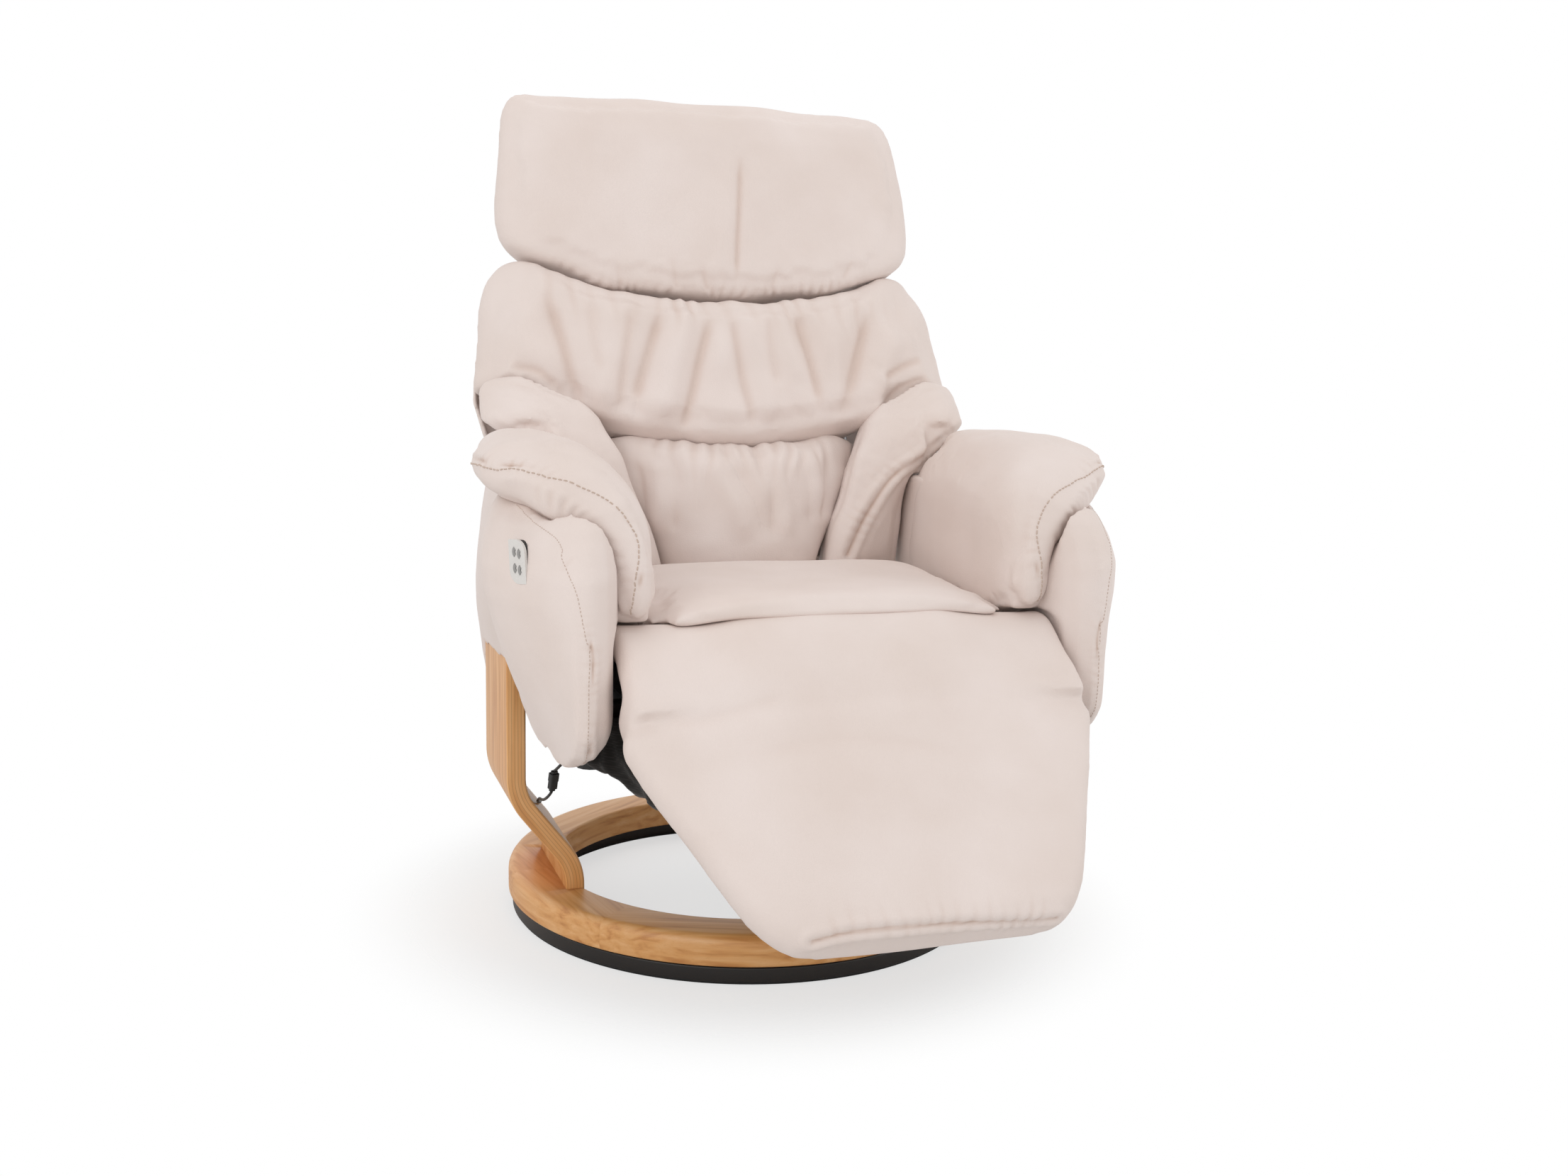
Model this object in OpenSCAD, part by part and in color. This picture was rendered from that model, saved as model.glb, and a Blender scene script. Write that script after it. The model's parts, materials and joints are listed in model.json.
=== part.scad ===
// Reclining armchair on a turning ring base.
// Two bent wood legs stand on an oak ring that turns on a black floor ring.
// The back and the footrest are each moved by a drive under the seat, and the headrest tilts by hand.
// Units are millimetres, +Z is up and the chair faces -Y. The origin is on the floor,
// under the middle of the chair's outline; the turning axis stands axis_back behind it.

/* [Turning base] */
// Outer radius of the oak ring
ring_r = 320; // [300:1:340]
// Width of the oak ring, from its outer edge to its inner edge
ring_w = 63; // [58:1:70]
// Height of the oak ring
ring_h = 38; // [34:1:44]
// Rounding of the oak ring's upper outer edge
ring_round = 8; // [4:1:10]
// Width of the black floor ring
floor_ring_w = 34.5; // [30:0.5:40]
// Height of the black floor ring
floor_ring_h = 19; // [16:1:24]
// How far the floor ring stands in under the oak ring
floor_ring_inset = 5.5; // [3:0.5:9]
// Height of the rubber ring on the floor
floor_pad_h = 3; // [2:0.5:4]
// Shadow gap between the two rings
shadow_gap = 2; // [1.5:0.5:3]
// Diameter of the bearing balls
ball_d = 8; // [6:1:9]
// Number of bearing balls
ball_count = 24; // [12:1:32]

/* [Legs] */
// Width of a leg board
leg_w = 174; // [140:1:190]
// Thickness of a leg board
leg_t = 24; // [22:1:28]
// Distance from the middle to a leg's outer face at the seat
leg_top_out = 339.5; // [336:0.5:345]
// Distance from the middle to a leg's outer face at the ring
leg_foot_out = 265; // [262:1:272]
// Radius of the leg's two bends, at its middle layer
leg_bend_r = 72; // [60:1:90]
// Slope of the leg between its bends, from upright
leg_slope = 38; // [32:1:42]
// Height of the lower bend's start
leg_bend_z = 66; // [62:1:84]
// Height of the leg's hidden top end
leg_top_z = 470; // [440:1:480]
// How deep the foot is let into the ring
leg_lap = 26; // [18:1:28]
// Distance from the middle to the underbody tray's side
tray_half_w = 285; // [278:1:290]

/* [Seat] */
// Half width of the seat cushion
seat_half_w = 232; // [225:1:236]
// Height of the seat cushion's crown
seat_top_z = 471; // [462:1:478]
// Height of the seat cushion's underside
seat_bottom_z = 347; // [342:1:356]
// Rear end of the seat cushion, from the turning axis
seat_rear_y = 50; // [40:1:55]
// Front seam of the seat cushion, ahead of the turning axis
seat_front_y = 336; // [330:1:340]
// Thickness of the steel side plates
plate_t = 4; // [3:0.5:5]
// Diameter of the seat rails
rail_d = 25; // [22:1:28]
// Number of elastic straps under the seat
strap_count = 8; // [4:1:8]
// Width of an elastic strap
strap_w = 40; // [30:1:42]
// Height of the underbody tray
tray_h = 52; // [50:1:55]
// Wall of the underbody tray
tray_wall = 3; // [2:0.5:4]

/* [Arms] */
// Half distance between the arms' inner faces
arm_in = 243; // [240:1:246]
// Distance from the middle to the arm's widest point
arm_out = 391; // [385:1:397]
// Height of the arm under its pad
arm_top_z = 577; // [565:1:578]
// Rear end of the arm, behind the turning axis
arm_rear_y = 103; // [96:1:106]
// Rear end of the outer side panel, behind the turning axis
panel_rear_y = 132; // [126:1:140]
// Half width of the arm pad
pad_half_w = 62; // [56:1:64]
// Half thickness of the arm pad
pad_half_t = 33.5; // [28:0.5:34]
// Rear end of the arm pad, behind the turning axis
pad_rear_y = 68; // [55:1:74]

/* [Backrest] */
// Lean of the backrest, from upright
back_lean = 23; // [18:0.5:26]
// Back hinge, behind the turning axis
back_hinge_y = 120; // [118:1:124]
// Height of the back hinge
back_hinge_z = 420; // [414:1:424]
// Widest half width of the shoulder cushion
shoulder_half_w = 346; // [330:1:352]
// Length of the backrest from its hinge to the headrest's hinge
back_length = 405; // [400:1:410]
// How far the cushions stand out in front of the hinge line
cushion_front = 147; // [135:1:152]
// Depth of the backrest's cushions
cushion_depth = 98; // [85:1:102]
// Diameter of the back frame's tube
frame_tube_d = 22; // [18:1:24]
// Half distance between the back frame's uprights
frame_half_w = 190; // [160:1:210]
// Wall of the rear shell
shell_wall = 6; // [4:1:8]

/* [Headrest] */
// Height of the headrest cushion above its hinge
head_h = 268; // [240:1:280]
// Widest half width of the headrest cushion
head_half_w = 304; // [285:1:312]
// Half thickness of the headrest cushion
head_half_t = 50; // [42:1:54]
// How much more upright the headrest stands than the back
head_forward = 10; // [6:1:14]

/* [Footrest] */
// Footrest hinge, ahead of the turning axis
foot_hinge_y = 330; // [327:1:333]
// Height of the footrest hinge
foot_hinge_z = 370; // [367:1:373]
// Slope of the footrest below level
foot_slope = 41; // [36:1:46]
// Radius of the knee roll about the hinge
knee_r = 75; // [72:1:76]
// Padding thickness of the knee roll
knee_t = 26; // [22:1:30]
// Half width of the knee roll
knee_half_w = 268; // [262:1:272]
// Length of the footrest from its hinge
foot_length = 350; // [330:1:356]
// Widest half width of the footrest
foot_half_w = 276; // [260:1:280]
// Half width of the footrest's end
foot_end_half_w = 150; // [130:1:170]
// Thickness of the footrest board
board_t = 12; // [9:1:15]

/* [Drives and switch] */
// Diameter of the drives' rods
rod_d = 16; // [12:1:18]
// Diameter of the drives' outer tubes
drive_tube_d = 26; // [24:1:30]
// Distance from the middle to each drive
drive_x = 120; // [116:1:123]
// Length of the switch plate
switch_l = 48; // [44:1:54]
// Width of the switch plate
switch_w = 27; // [25:1:30]
// Height of the switch plate's middle
switch_z = 518; // [505:1:522]
// Diameter of the low-voltage lead
lead_d = 3.5; // [3.5:0.5:4]

/* [Hidden] */
$fn = 48;

// How far the turning axis stands behind the middle of the chair's outline
axis_back = 157.5;

// Clearances
seat_gap = 0.2;
soft_gap = 0.3;
run_gap = 0.08;
bore_gap = 0.2;
moving_gap = 2;

// Colours
oak = "#d8ac7c";
leather = "#e2d6ce";
black = "#26221f";
steel = "#8f9295";

// Heights of the base, from the floor up
floor_ring_z = floor_pad_h;
floor_ring_top = floor_ring_z + floor_ring_h;
oak_z = floor_ring_top + shadow_gap;
oak_top = oak_z + ring_h;
ring_in = ring_r - ring_w;
floor_ring_r = ring_r - floor_ring_inset;
floor_ring_in = floor_ring_r - floor_ring_w;
ball_z = floor_ring_top + shadow_gap / 2;
ball_track_r = floor_ring_in + floor_ring_w / 2;
race_half_w = 7;
race_depth = 8;
race_gap = 0.5;
track_gap = 0.3;

// Legs
leg_foot_x = leg_foot_out - leg_t / 2;
leg_top_x = leg_top_out - leg_t / 2;
leg_inner_x = leg_top_out - leg_t;
leg_base_z = oak_top - leg_lap;
bend_shift = leg_bend_r * (1 - cos(leg_slope));
leg_straight = (leg_top_x - leg_foot_x - 2 * bend_shift) / sin(leg_slope);
leg_upper_z = leg_bend_z + 2 * leg_bend_r * sin(leg_slope) + leg_straight * cos(leg_slope);
bolt_r = 4;
bolt_head_r = 8;
bolt_head_t = 3;
lap_bolt_z = leg_base_z + leg_lap / 2;
lap_bolt_y = [-54, -18, 18, 54];
top_bolt_y = [-50, 50];
top_bolt_z = [375, 440];

// Seat frame
plate_in = leg_inner_x - plate_t;
rail_r = rail_d / 2;
rail_wall = 2;
rail_z = seat_bottom_z - 2.5 - rail_r;
front_rail_y = -245;
rear_rail_y = 152;
tray_front_y = -262;
tray_rear_y = 168;
plate_bottom_z = 318;
tray_top = plate_bottom_z;
tray_z = tray_top - tray_h;
strap_t = 2;
strap_z = rail_z + rail_r;
lug_x = 172;
lug_t = 8;
foot_hinge = [-foot_hinge_y, foot_hinge_z];
back_hinge = [back_hinge_y, back_hinge_z];
pin_r = 8;

// Drives
lever_t = 6;
lever_r = 78;
foot_drive_z = foot_hinge_z - lever_r;
back_lever_drop = 115;
back_drive_z = back_hinge_z - back_lever_drop;
back_lever_y = 105;
fork_gap = 1;
fork_ear = 4;
rod_r = rod_d / 2;
drive_tube_r = drive_tube_d / 2;

// Arms
panel_x = leg_inner_x + seat_gap;
box_x = plate_in - seat_gap;
slot_top_z = 366;

// Switch, on the sitter's right side panel, where its skin turns in towards the front
switch_y = -319;
switch_proud = 3;
switch_box_t = 24;
key_l = 11;
key_w = 4;
key_h = 3;
switch_lean = 5;

lead_r = lead_d / 2;

function unit(v) = v / norm(v);
function lerp(a, b, t) = a + (b - a) * t;
function flatten(l) = [for (part = l) for (item = part) item];

// Arc points about centre c, from angle a to angle b
function arc(c, r, a, b, n = 8)
    = [for (i = [0:n]) c + r * [cos(lerp(a, b, i / n)), sin(lerp(a, b, i / n))]];

// A polygon whose corners are rounded over the length r
function soften(pts, r, n = 4) = let (m = len(pts)) flatten([for (i = [0:m - 1])
    let (p = pts[i], q = pts[(i + m - 1) % m], s = pts[(i + 1) % m],
         cut = min(r, norm(q - p) * 0.45, norm(s - p) * 0.45),
         a = p + unit(q - p) * cut, b = p + unit(s - p) * cut)
    [for (k = [0:n]) let (t = k / n) (1 - t) * (1 - t) * a + 2 * t * (1 - t) * p + t * t * b]]);

function signed_pow(v, e) = sign(v) * pow(abs(v), e);

// A closed round-cornered oval of n points: half sizes a and b, squareness e
function oval(n, a, b, e = 2.5) =
    [for (i = [0:n - 1]) [a * signed_pow(cos(360 * i / n), 2 / e),
        b * signed_pow(sin(360 * i / n), 2 / e)]];

function middle(ring) = let (m = len(ring))
    [for (k = [0:2]) [for (p = ring) p[k]] * [for (i = [1:m]) 1 / m]];

// Value at t of a table of [t, value] pairs
function table(rows, t, i = 0) = t <= rows[0][0] ? rows[0][1]
    : i >= len(rows) - 1 ? rows[len(rows) - 1][1]
    : t <= rows[i + 1][0]
        ? lerp(rows[i][1], rows[i + 1][1], (t - rows[i][0]) / (rows[i + 1][0] - rows[i][0]))
        : table(rows, t, i + 1);

// A closed skin over rings of equal length; each ring runs anticlockwise seen from the last one.
// With valley = true, an end goes straight across between the points that face each other on its oval ring.
module loft(rings, valley = false) {
    n = len(rings[0]);
    m = len(rings);
    last = (m - 1) * n;
    points = concat(flatten(rings), valley ? [] : [middle(rings[0]), middle(rings[m - 1])]);
    sides = [for (j = [0:m - 2]) for (i = [0:n - 1])
        let (a = j * n + i, b = j * n + (i + 1) % n, c = a + n, d = b + n)
        each [[a, c, d], [a, d, b]]];
    fan = [for (i = [0:n - 1]) [i, (i + 1) % n, m * n]];
    strip = concat([[0, 1, n - 1], [n / 2 - 1, n / 2, n / 2 + 1]],
        [for (i = [1:n / 2 - 2]) each [[i, i + 1, n - i - 1], [i, n - i - 1, n - i]]]);
    first_cap = valley ? strip : fan;
    last_cap = valley ? [for (f = strip) [f[1] + last, f[0] + last, f[2] + last]]
        : [for (i = [0:n - 1]) [last + (i + 1) % n, last + i, m * n + 1]];
    polyhedron(points, concat(sides, first_cap, last_cap));
}

// Everything is drawn about the turning axis and set back by axis_back
module at_axis() { translate([0, axis_back, 0]) children(); }
// A profile in (y, z), drawn across from x = a to x = b
module across(a, b) { translate([a, 0, 0]) rotate([90, 0, 90]) linear_extrude(b - a) children(); }
// side 1 is the sitter's left (+X), side -1 the sitter's right
module on_side(side) { if (side < 0) mirror([1, 0, 0]) children(); else children(); }
module back_frame_of_reference()
    { translate([0, back_hinge[0], back_hinge[1]]) rotate([-back_lean, 0, 0]) children(); }
module foot_frame_of_reference()
    { translate([0, foot_hinge[0], foot_hinge[1]]) rotate([foot_slope, 0, 0]) children(); }
module ring_of(r_out, r_in, z0, z1) {
    rotate_extrude($fn = 96) translate([r_in, z0]) square([r_out - r_in, z1 - z0]);
}
module race_track() { translate([ball_track_r, ball_z]) circle(r = ball_d / 2 + track_gap, $fn = 32); }

// Turning base

module floor_pad() {
    color(black) at_axis() ring_of(floor_ring_r - 3, floor_ring_in + 2, 0, floor_pad_h);
}

module floor_ring() {
    color(black) at_axis() rotate_extrude($fn = 96) difference() {
        translate([floor_ring_in, floor_ring_z]) polygon(soften([[0, 0], [floor_ring_w, 0],
            [floor_ring_w, floor_ring_h], [0, floor_ring_h]], 2, 3));
        translate([ball_track_r - race_half_w, floor_ring_top - race_depth])
            square([2 * race_half_w, race_depth + 1]);
    }
}

module lower_race() {
    color(steel) at_axis() rotate_extrude($fn = 96) difference() {
        translate([ball_track_r - race_half_w, floor_ring_top - race_depth])
            square([2 * race_half_w, race_depth - race_gap]);
        race_track();
    }
}

module upper_race() {
    color(steel) at_axis() rotate_extrude($fn = 96) difference() {
        translate([ball_track_r - race_half_w, oak_z + race_gap])
            square([2 * race_half_w, race_depth - race_gap]);
        race_track();
    }
}

module ball_cage() {
    color(steel) at_axis() difference() {
        ring_of(ball_track_r + 6, ball_track_r - 6, ball_z - 0.6, ball_z + 0.6);
        for (i = [0:ball_count - 1]) rotate([0, 0, 360 * i / ball_count])
            translate([ball_track_r, 0, ball_z - 2]) cylinder(r = ball_d / 2 + track_gap, h = 4, $fn = 24);
    }
}

module bearing_balls() {
    color(steel) at_axis() for (i = [0:ball_count - 1]) rotate([0, 0, 360 * i / ball_count])
        translate([ball_track_r, 0, ball_z]) sphere(d = ball_d, $fn = 24);
}

module oak_ring() {
    notch = leg_w + 2 * seat_gap;
    color(oak) at_axis() difference() {
        rotate_extrude($fn = 128) difference() {
            polygon(concat(
                [[ring_in, oak_z], [ring_r - 4, oak_z]], arc([ring_r - 4, oak_z + 4], 4, -90, 0, 4),
                arc([ring_r - ring_round, oak_top - ring_round], ring_round, 0, 90, 6),
                arc([ring_in + 4, oak_top - 4], 4, 90, 180, 4)));
            translate([ball_track_r - race_half_w, oak_z - 1]) square([2 * race_half_w, race_depth + 1]);
        }
        for (side = [-1, 1]) on_side(side) {
            translate([ring_in / 2, -notch / 2, leg_base_z])
                cube([leg_foot_out - ring_in / 2, notch, ring_h]);
            for (y = lap_bolt_y) translate([ring_in / 2, y, lap_bolt_z]) rotate([0, 90, 0])
                cylinder(r = bolt_r + bore_gap, h = leg_foot_out + 22 - ring_in / 2);
        }
    }
}

// Legs: one bent profile, drawn along Y

function leg_line(o) = concat(
    [[leg_foot_x + o, leg_base_z]],
    [for (i = [0:8]) let (a = leg_slope * i / 8)
        [leg_foot_x + bend_shift * (1 - cos(a)) / (1 - cos(leg_slope)) + o * cos(a),
         leg_bend_z + leg_bend_r * sin(a) - o * sin(a)]],
    [for (i = [8:-1:0]) let (a = leg_slope * i / 8)
        [leg_top_x - leg_bend_r * (1 - cos(a)) + o * cos(a), leg_upper_z - leg_bend_r * sin(a)
            - o * sin(a)]],
    [[leg_top_x + o, leg_top_z]]);

module leg_bolt_holes(r) {
    for (y = lap_bolt_y) translate([leg_foot_x - leg_t / 2 - 1, y, lap_bolt_z]) rotate([0, 90, 0])
        cylinder(r = r, h = leg_t + 2);
    for (y = top_bolt_y) for (z = top_bolt_z) translate([plate_in - 1, y, z]) rotate([0, 90, 0])
        cylinder(r = r, h = leg_t + plate_t + 2);
}

module leg() {
    line = [for (p = leg_line(leg_t / 2)) p];
    back_line = leg_line(-leg_t / 2);
    at_axis() difference() {
        rotate([90, 0, 0]) linear_extrude(leg_w, center = true)
            polygon(concat(line, [for (i = [len(back_line) - 1:-1:0]) back_line[i]]));
        leg_bolt_holes(bolt_r + bore_gap);
    }
}
module leg_right() { color(oak) on_side(-1) leg(); }
module leg_left() { color(oak) on_side(1) leg(); }

module bolt(length) {
    rotate([0, 90, 0]) cylinder(r = bolt_r, h = length);
    translate([-bolt_head_t, 0, 0]) rotate([0, 90, 0]) cylinder(r = bolt_head_r, h = bolt_head_t, $fn = 24);
}

module frame_bolts() {
    color(steel) at_axis() for (side = [-1, 1]) on_side(side) {
        for (y = lap_bolt_y) translate([leg_foot_x - leg_t / 2, y, lap_bolt_z]) bolt(leg_t + 20);
        for (y = top_bolt_y) for (z = top_bolt_z) translate([plate_in, y, z]) bolt(leg_t + plate_t);
    }
}

// Seat frame

module side_plate(side) {
    color(steel) at_axis() on_side(side) difference() {
        across(plate_in, leg_inner_x) polygon(soften([[tray_front_y, plate_bottom_z],
            [tray_rear_y, plate_bottom_z], [tray_rear_y, back_hinge_z - 20],
                [back_hinge_y + 22, back_hinge_z + 28],
            [95, leg_top_z + 4], [-92, leg_top_z + 4], [-110, 400], [tray_front_y, 368]], 16));
        translate([plate_in - 1, back_hinge_y, back_hinge_z]) rotate([0, 90, 0])
            cylinder(r = pin_r + bore_gap / 2, h = plate_t + 2);
        for (y = top_bolt_y) for (z = top_bolt_z) translate([plate_in - 1, y, z]) rotate([0, 90, 0])
            cylinder(r = bolt_r + bore_gap, h = plate_t + 2);
    }
}
module side_plate_right() { side_plate(-1); }
module side_plate_left() { side_plate(1); }

module rail(y) {
    translate([-plate_in, y, rail_z]) rotate([0, 90, 0]) difference() {
        cylinder(r = rail_r, h = 2 * plate_in);
        translate([0, 0, -1]) cylinder(r = rail_r - rail_wall, h = 2 * plate_in + 2);
    }
}

// A plate between two points of the (y, z) plane, rounded about both
module link(p, q, rp, rq, x0, x1) {
    across(x0, x1) hull() {
        translate(p) circle(r = rp, $fn = 32);
        translate(q) circle(r = rq, $fn = 32);
    }
}

module seat_rails() {
    motor_lug = 5;
    color(steel) at_axis() difference() {
        union() {
            rail(front_rail_y);
            rail(rear_rail_y);
            for (side = [-1, 1]) on_side(side) difference() {
                link(foot_hinge, [front_rail_y, rail_z], 15, rail_r, lug_x - lug_t / 2, lug_x + lug_t / 2);
                translate([lug_x - lug_t, front_rail_y, rail_z]) rotate([0, 90, 0])
                    cylinder(r = rail_r - 1, h = 2 * lug_t);
            }
            for (x = [-drive_x - 18, -drive_x + 13])
                link([rear_rail_y, rail_z - rail_r + 1], [rear_rail_y - 14, foot_drive_z], motor_lug, 10,
                    x, x + motor_lug);
            for (x = [drive_x - 18, drive_x + 13])
                link([front_rail_y, rail_z - rail_r + 1], [front_rail_y + 14, back_drive_z], motor_lug,
                    10, x, x + motor_lug);
        }
        for (side = [-1, 1]) on_side(side) translate([lug_x - lug_t, foot_hinge[0], foot_hinge[1]])
            rotate([0, 90, 0]) cylinder(r = pin_r + run_gap, h = 2 * lug_t);
        translate([-drive_x - 20, rear_rail_y - 14, foot_drive_z]) rotate([0, 90, 0])
            cylinder(r = 5 + bore_gap, h = 40);
        translate([drive_x - 20, front_rail_y + 14, back_drive_z]) rotate([0, 90, 0])
            cylinder(r = 5 + bore_gap, h = 40);
    }
}

module seat_webbing() {
    pitch = 2 * (seat_half_w + 8) / strap_count;
    color(black) at_axis() for (i = [0:strap_count - 1])
        translate([(i - (strap_count - 1) / 2) * pitch - strap_w / 2, front_rail_y, strap_z])
            cube([strap_w, rear_rail_y - front_rail_y, strap_t]);
}

module hinge_pins() {
    color(steel) at_axis() for (side = [-1, 1]) on_side(side) {
        translate([plate_in - 22, back_hinge[0], back_hinge[1]]) rotate([0, 90, 0])
            cylinder(r = pin_r, h = 22 + plate_t + 4);
        translate([plate_in + plate_t + 0.2, back_hinge[0], back_hinge[1]]) rotate([0, 90, 0])
            cylinder(r = pin_r + 4, h = 4);
        translate([lug_x - lug_t / 2 - 20, foot_hinge[0], foot_hinge[1]]) rotate([0, 90, 0])
            cylinder(r = pin_r, h = lug_t + 24);
        translate([lug_x + lug_t / 2 + 0.2, foot_hinge[0], foot_hinge[1]]) rotate([0, 90, 0])
            cylinder(r = pin_r + 3, h = 4);
    }
}

// Seat cushion: a crowned oval block whose front end is cut round the knee roll
seat_ring_n = 36;
seat_half_h = (seat_top_z - seat_bottom_z) / 2;
function seat_ring(y, w, h) = [for (p = oval(seat_ring_n, w, h, 4))
    [p[0], y, seat_bottom_z + soft_gap + h + p[1]]];

module seat_cushion() {
    depth = seat_rear_y + seat_front_y + 30;
    // Share of the depth, of the width and of the height
    rows = [[0, 0.93, 0.62], [0.05, 0.985, 0.71], [0.12, 1, 0.78], [0.2, 1, 0.88], [0.28, 1, 0.96],
        [0.37, 1, 1], [0.46, 1, 1],
            [0.62, 1, 0.99], [0.76, 1, 0.965], [0.87, 1, 0.93], [0.96, 1, 0.895], [1, 0.995, 0.875]];
    color(leather) at_axis() difference() {
        loft([for (r = rows) seat_ring(seat_rear_y - depth * r[0], seat_half_w * r[1],
            seat_half_h * r[2])]);
        translate([-seat_half_w - 10, foot_hinge[0], foot_hinge[1]]) rotate([0, 90, 0])
            cylinder(r = knee_r + moving_gap, h = 2 * seat_half_w + 20, $fn = 72);
        translate([-seat_half_w - 10, -seat_front_y - 60, seat_bottom_z - 40])
            cube([2 * seat_half_w + 20, 60, 200]);
    }
}

module underbody_tray() {
    half = tray_half_w;
    color(black) at_axis() difference() {
        translate([0, 0, tray_z]) linear_extrude(tray_h)
            polygon(soften([[-half, tray_front_y], [half, tray_front_y],
            [half, tray_rear_y], [-half, tray_rear_y]], 22));
        translate([0, 0, tray_z + tray_wall]) linear_extrude(tray_h) polygon(soften([
            [-half + tray_wall, tray_front_y + tray_wall], [half - tray_wall, tray_front_y + tray_wall],
            [half - tray_wall, tray_rear_y - tray_wall], [-half + tray_wall, tray_rear_y - tray_wall]],
                20));
        translate([-drive_x - 22, tray_front_y - 1, foot_drive_z - 22]) cube([44, tray_wall + 2, 60]);
        translate([-lug_x - 14, tray_front_y - 1, 300]) cube([28, tray_wall + 2, 40]);
        translate([lug_x - 14, tray_front_y - 1, 300]) cube([28, tray_wall + 2, 40]);
        translate([-half - 1, gland_y, gland_z]) rotate([0, 90, 0])
            cylinder(r = gland_neck_r + soft_gap / 2, h = tray_wall + 2, $fn = 24);
    }
}

// Arms

// Each arm is one soft form, parted into an inner box and an outer panel with the leg's plate between them

// Height, distance to the arm's front, fullness of its outer skin, and how far the skin's rear stands out
arm_rows = [[285, 300, 0.09, 0.07], [291, 335, 0.12, 0.13], [301, 356, 0.17, 0.20], [312, 379, 0.22, 0.27],
            [335, 397, 0.34, 0.34], [362, 402, 0.49, 0.39], [400, 403, 0.66, 0.45], [440, 403, 0.83, 0.47],
            [475, 402, 0.97, 0.45], [505, 399, 1, 0.40], [532, 386, 0.94, 0.35], [555, 366, 0.84, 0.29],
            [569, 344, 0.73, 0.25], [arm_top_z, 322, 0.62, 0.21]];
// Share of the arm's length from its front, how far the outer skin stands out, and its share of the rear's reach
skin_rows = [[0.012, 0.02, 0], [0.04, 0.20, 0], [0.09, 0.43, 0], [0.15, 0.68, 0], [0.21, 0.87, 0],
    [0.26, 0.97, 0],
             [0.305, 1, 0.1], [0.36, 0.97, 0.4], [0.45, 0.84, 0.8], [0.58, 0.58, 1], [0.74, 0.37, 1],
                 [0.88, 0.24, 1],
             [0.96, 0.18, 0.92], [1, 0.10, 0.5]];
// The inner skin, from the rear to the front: distance from the middle and share of the arm's front distance
inner_rows = [[arm_in, 0.2], [arm_in, 0.55], [arm_in + 3, 0.70], [arm_in + 12, 0.81],
    [arm_in + 24, 0.915], [arm_in + 38, 0.975],
              [arm_in + 56, 1]];
skin_reach = arm_out - panel_x;
arm_length = panel_rear_y + 403;
function arm_y(t, front) = let (y = panel_rear_y - arm_length * (1 - t)) y > 0 ? y : y * front / 403;
function skin_x(r, full, rear) = panel_x + skin_reach * max(r[1] * pow(full, 2.5 - 1.5 * r[1]), r[2] * rear);
function arm_ring(z, front, full, rear) = concat([[arm_in, panel_rear_y, z]],
    [for (r = inner_rows) [r[0], -front * r[1], z]],
    [for (r = skin_rows) [skin_x(r, full, rear), arm_y(r[0], front), z]]);
module arm_form() { loft([for (r = arm_rows) arm_ring(r[0], r[1], r[2], r[3])]); }

// The seam between box and panel leans out towards the arm's top
seam_x = 300;
seam_rows = [[270, 0], [436, 0], [468, 10], [501, 20], [531, 30], [555, 40], [arm_top_z + 3, 54]];
seam_y = tray_front_y - 2;
module seam_region(from, sign) {
    // The stretch ahead of the leg's plate, and a bridge to what lies beside the plate
    for (stretch = [[-seat_gap / 2, 200, false], [2, 4, true]])
        translate([0, seam_y + stretch[0], 0]) rotate([90, 0, 0]) linear_extrude(stretch[1])
            polygon(concat([for (r = seam_rows) let (x = seam_x + r[1] + sign * seat_gap / 2)
                [!stretch[2] ? x : sign > 0 ? max(x, panel_x) : min(x, box_x), r[0]]],
                [[from, arm_top_z + 3], [from, 270]]));
}

module side_panel(side) {
    slot_front = -leg_w / 2 - 9;
    at_axis() on_side(side) difference() {
        intersection() {
            arm_form();
            union() {
                seam_region(arm_out + 40, 1);
                translate([panel_x, seam_y + seat_gap / 2, 270]) cube([150, 600, 320]);
            }
            // Side view: a lobe hangs in front of the leg and another behind it
            across(arm_in, arm_out + 40) polygon(soften([[panel_rear_y + 1, 302],
                [panel_rear_y + 1, arm_top_z + 1],
                [-430, arm_top_z + 1], [-430, 270], [-290, 268], [-240, 284], [-203, 306], [-166, 337],
                [slot_front - 42, slot_top_z + 2], [slot_front + 20, slot_top_z],
                [leg_w / 2 + 5, slot_top_z - 14], [leg_w / 2 + 5, 302]], 8));
        }
        // Room for the leg behind the skin and for the back hinge's pin
        translate([panel_x - 1, -leg_w / 2 - seat_gap, 250])
            cube([leg_top_out + seat_gap - panel_x + 1, leg_w + 2 * seat_gap, leg_top_z + seat_gap - 250]);
        translate([panel_x - 1, back_hinge[0] - 16, back_hinge[1] - 16]) cube([8, 40, 32]);
        pad_form(soft_gap);
        if (side < 0) mirror([1, 0, 0]) switch_space();
    }
}
module side_panel_right() { color(leather) side_panel(-1); }
module side_panel_left() { color(leather) side_panel(1); }

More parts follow.
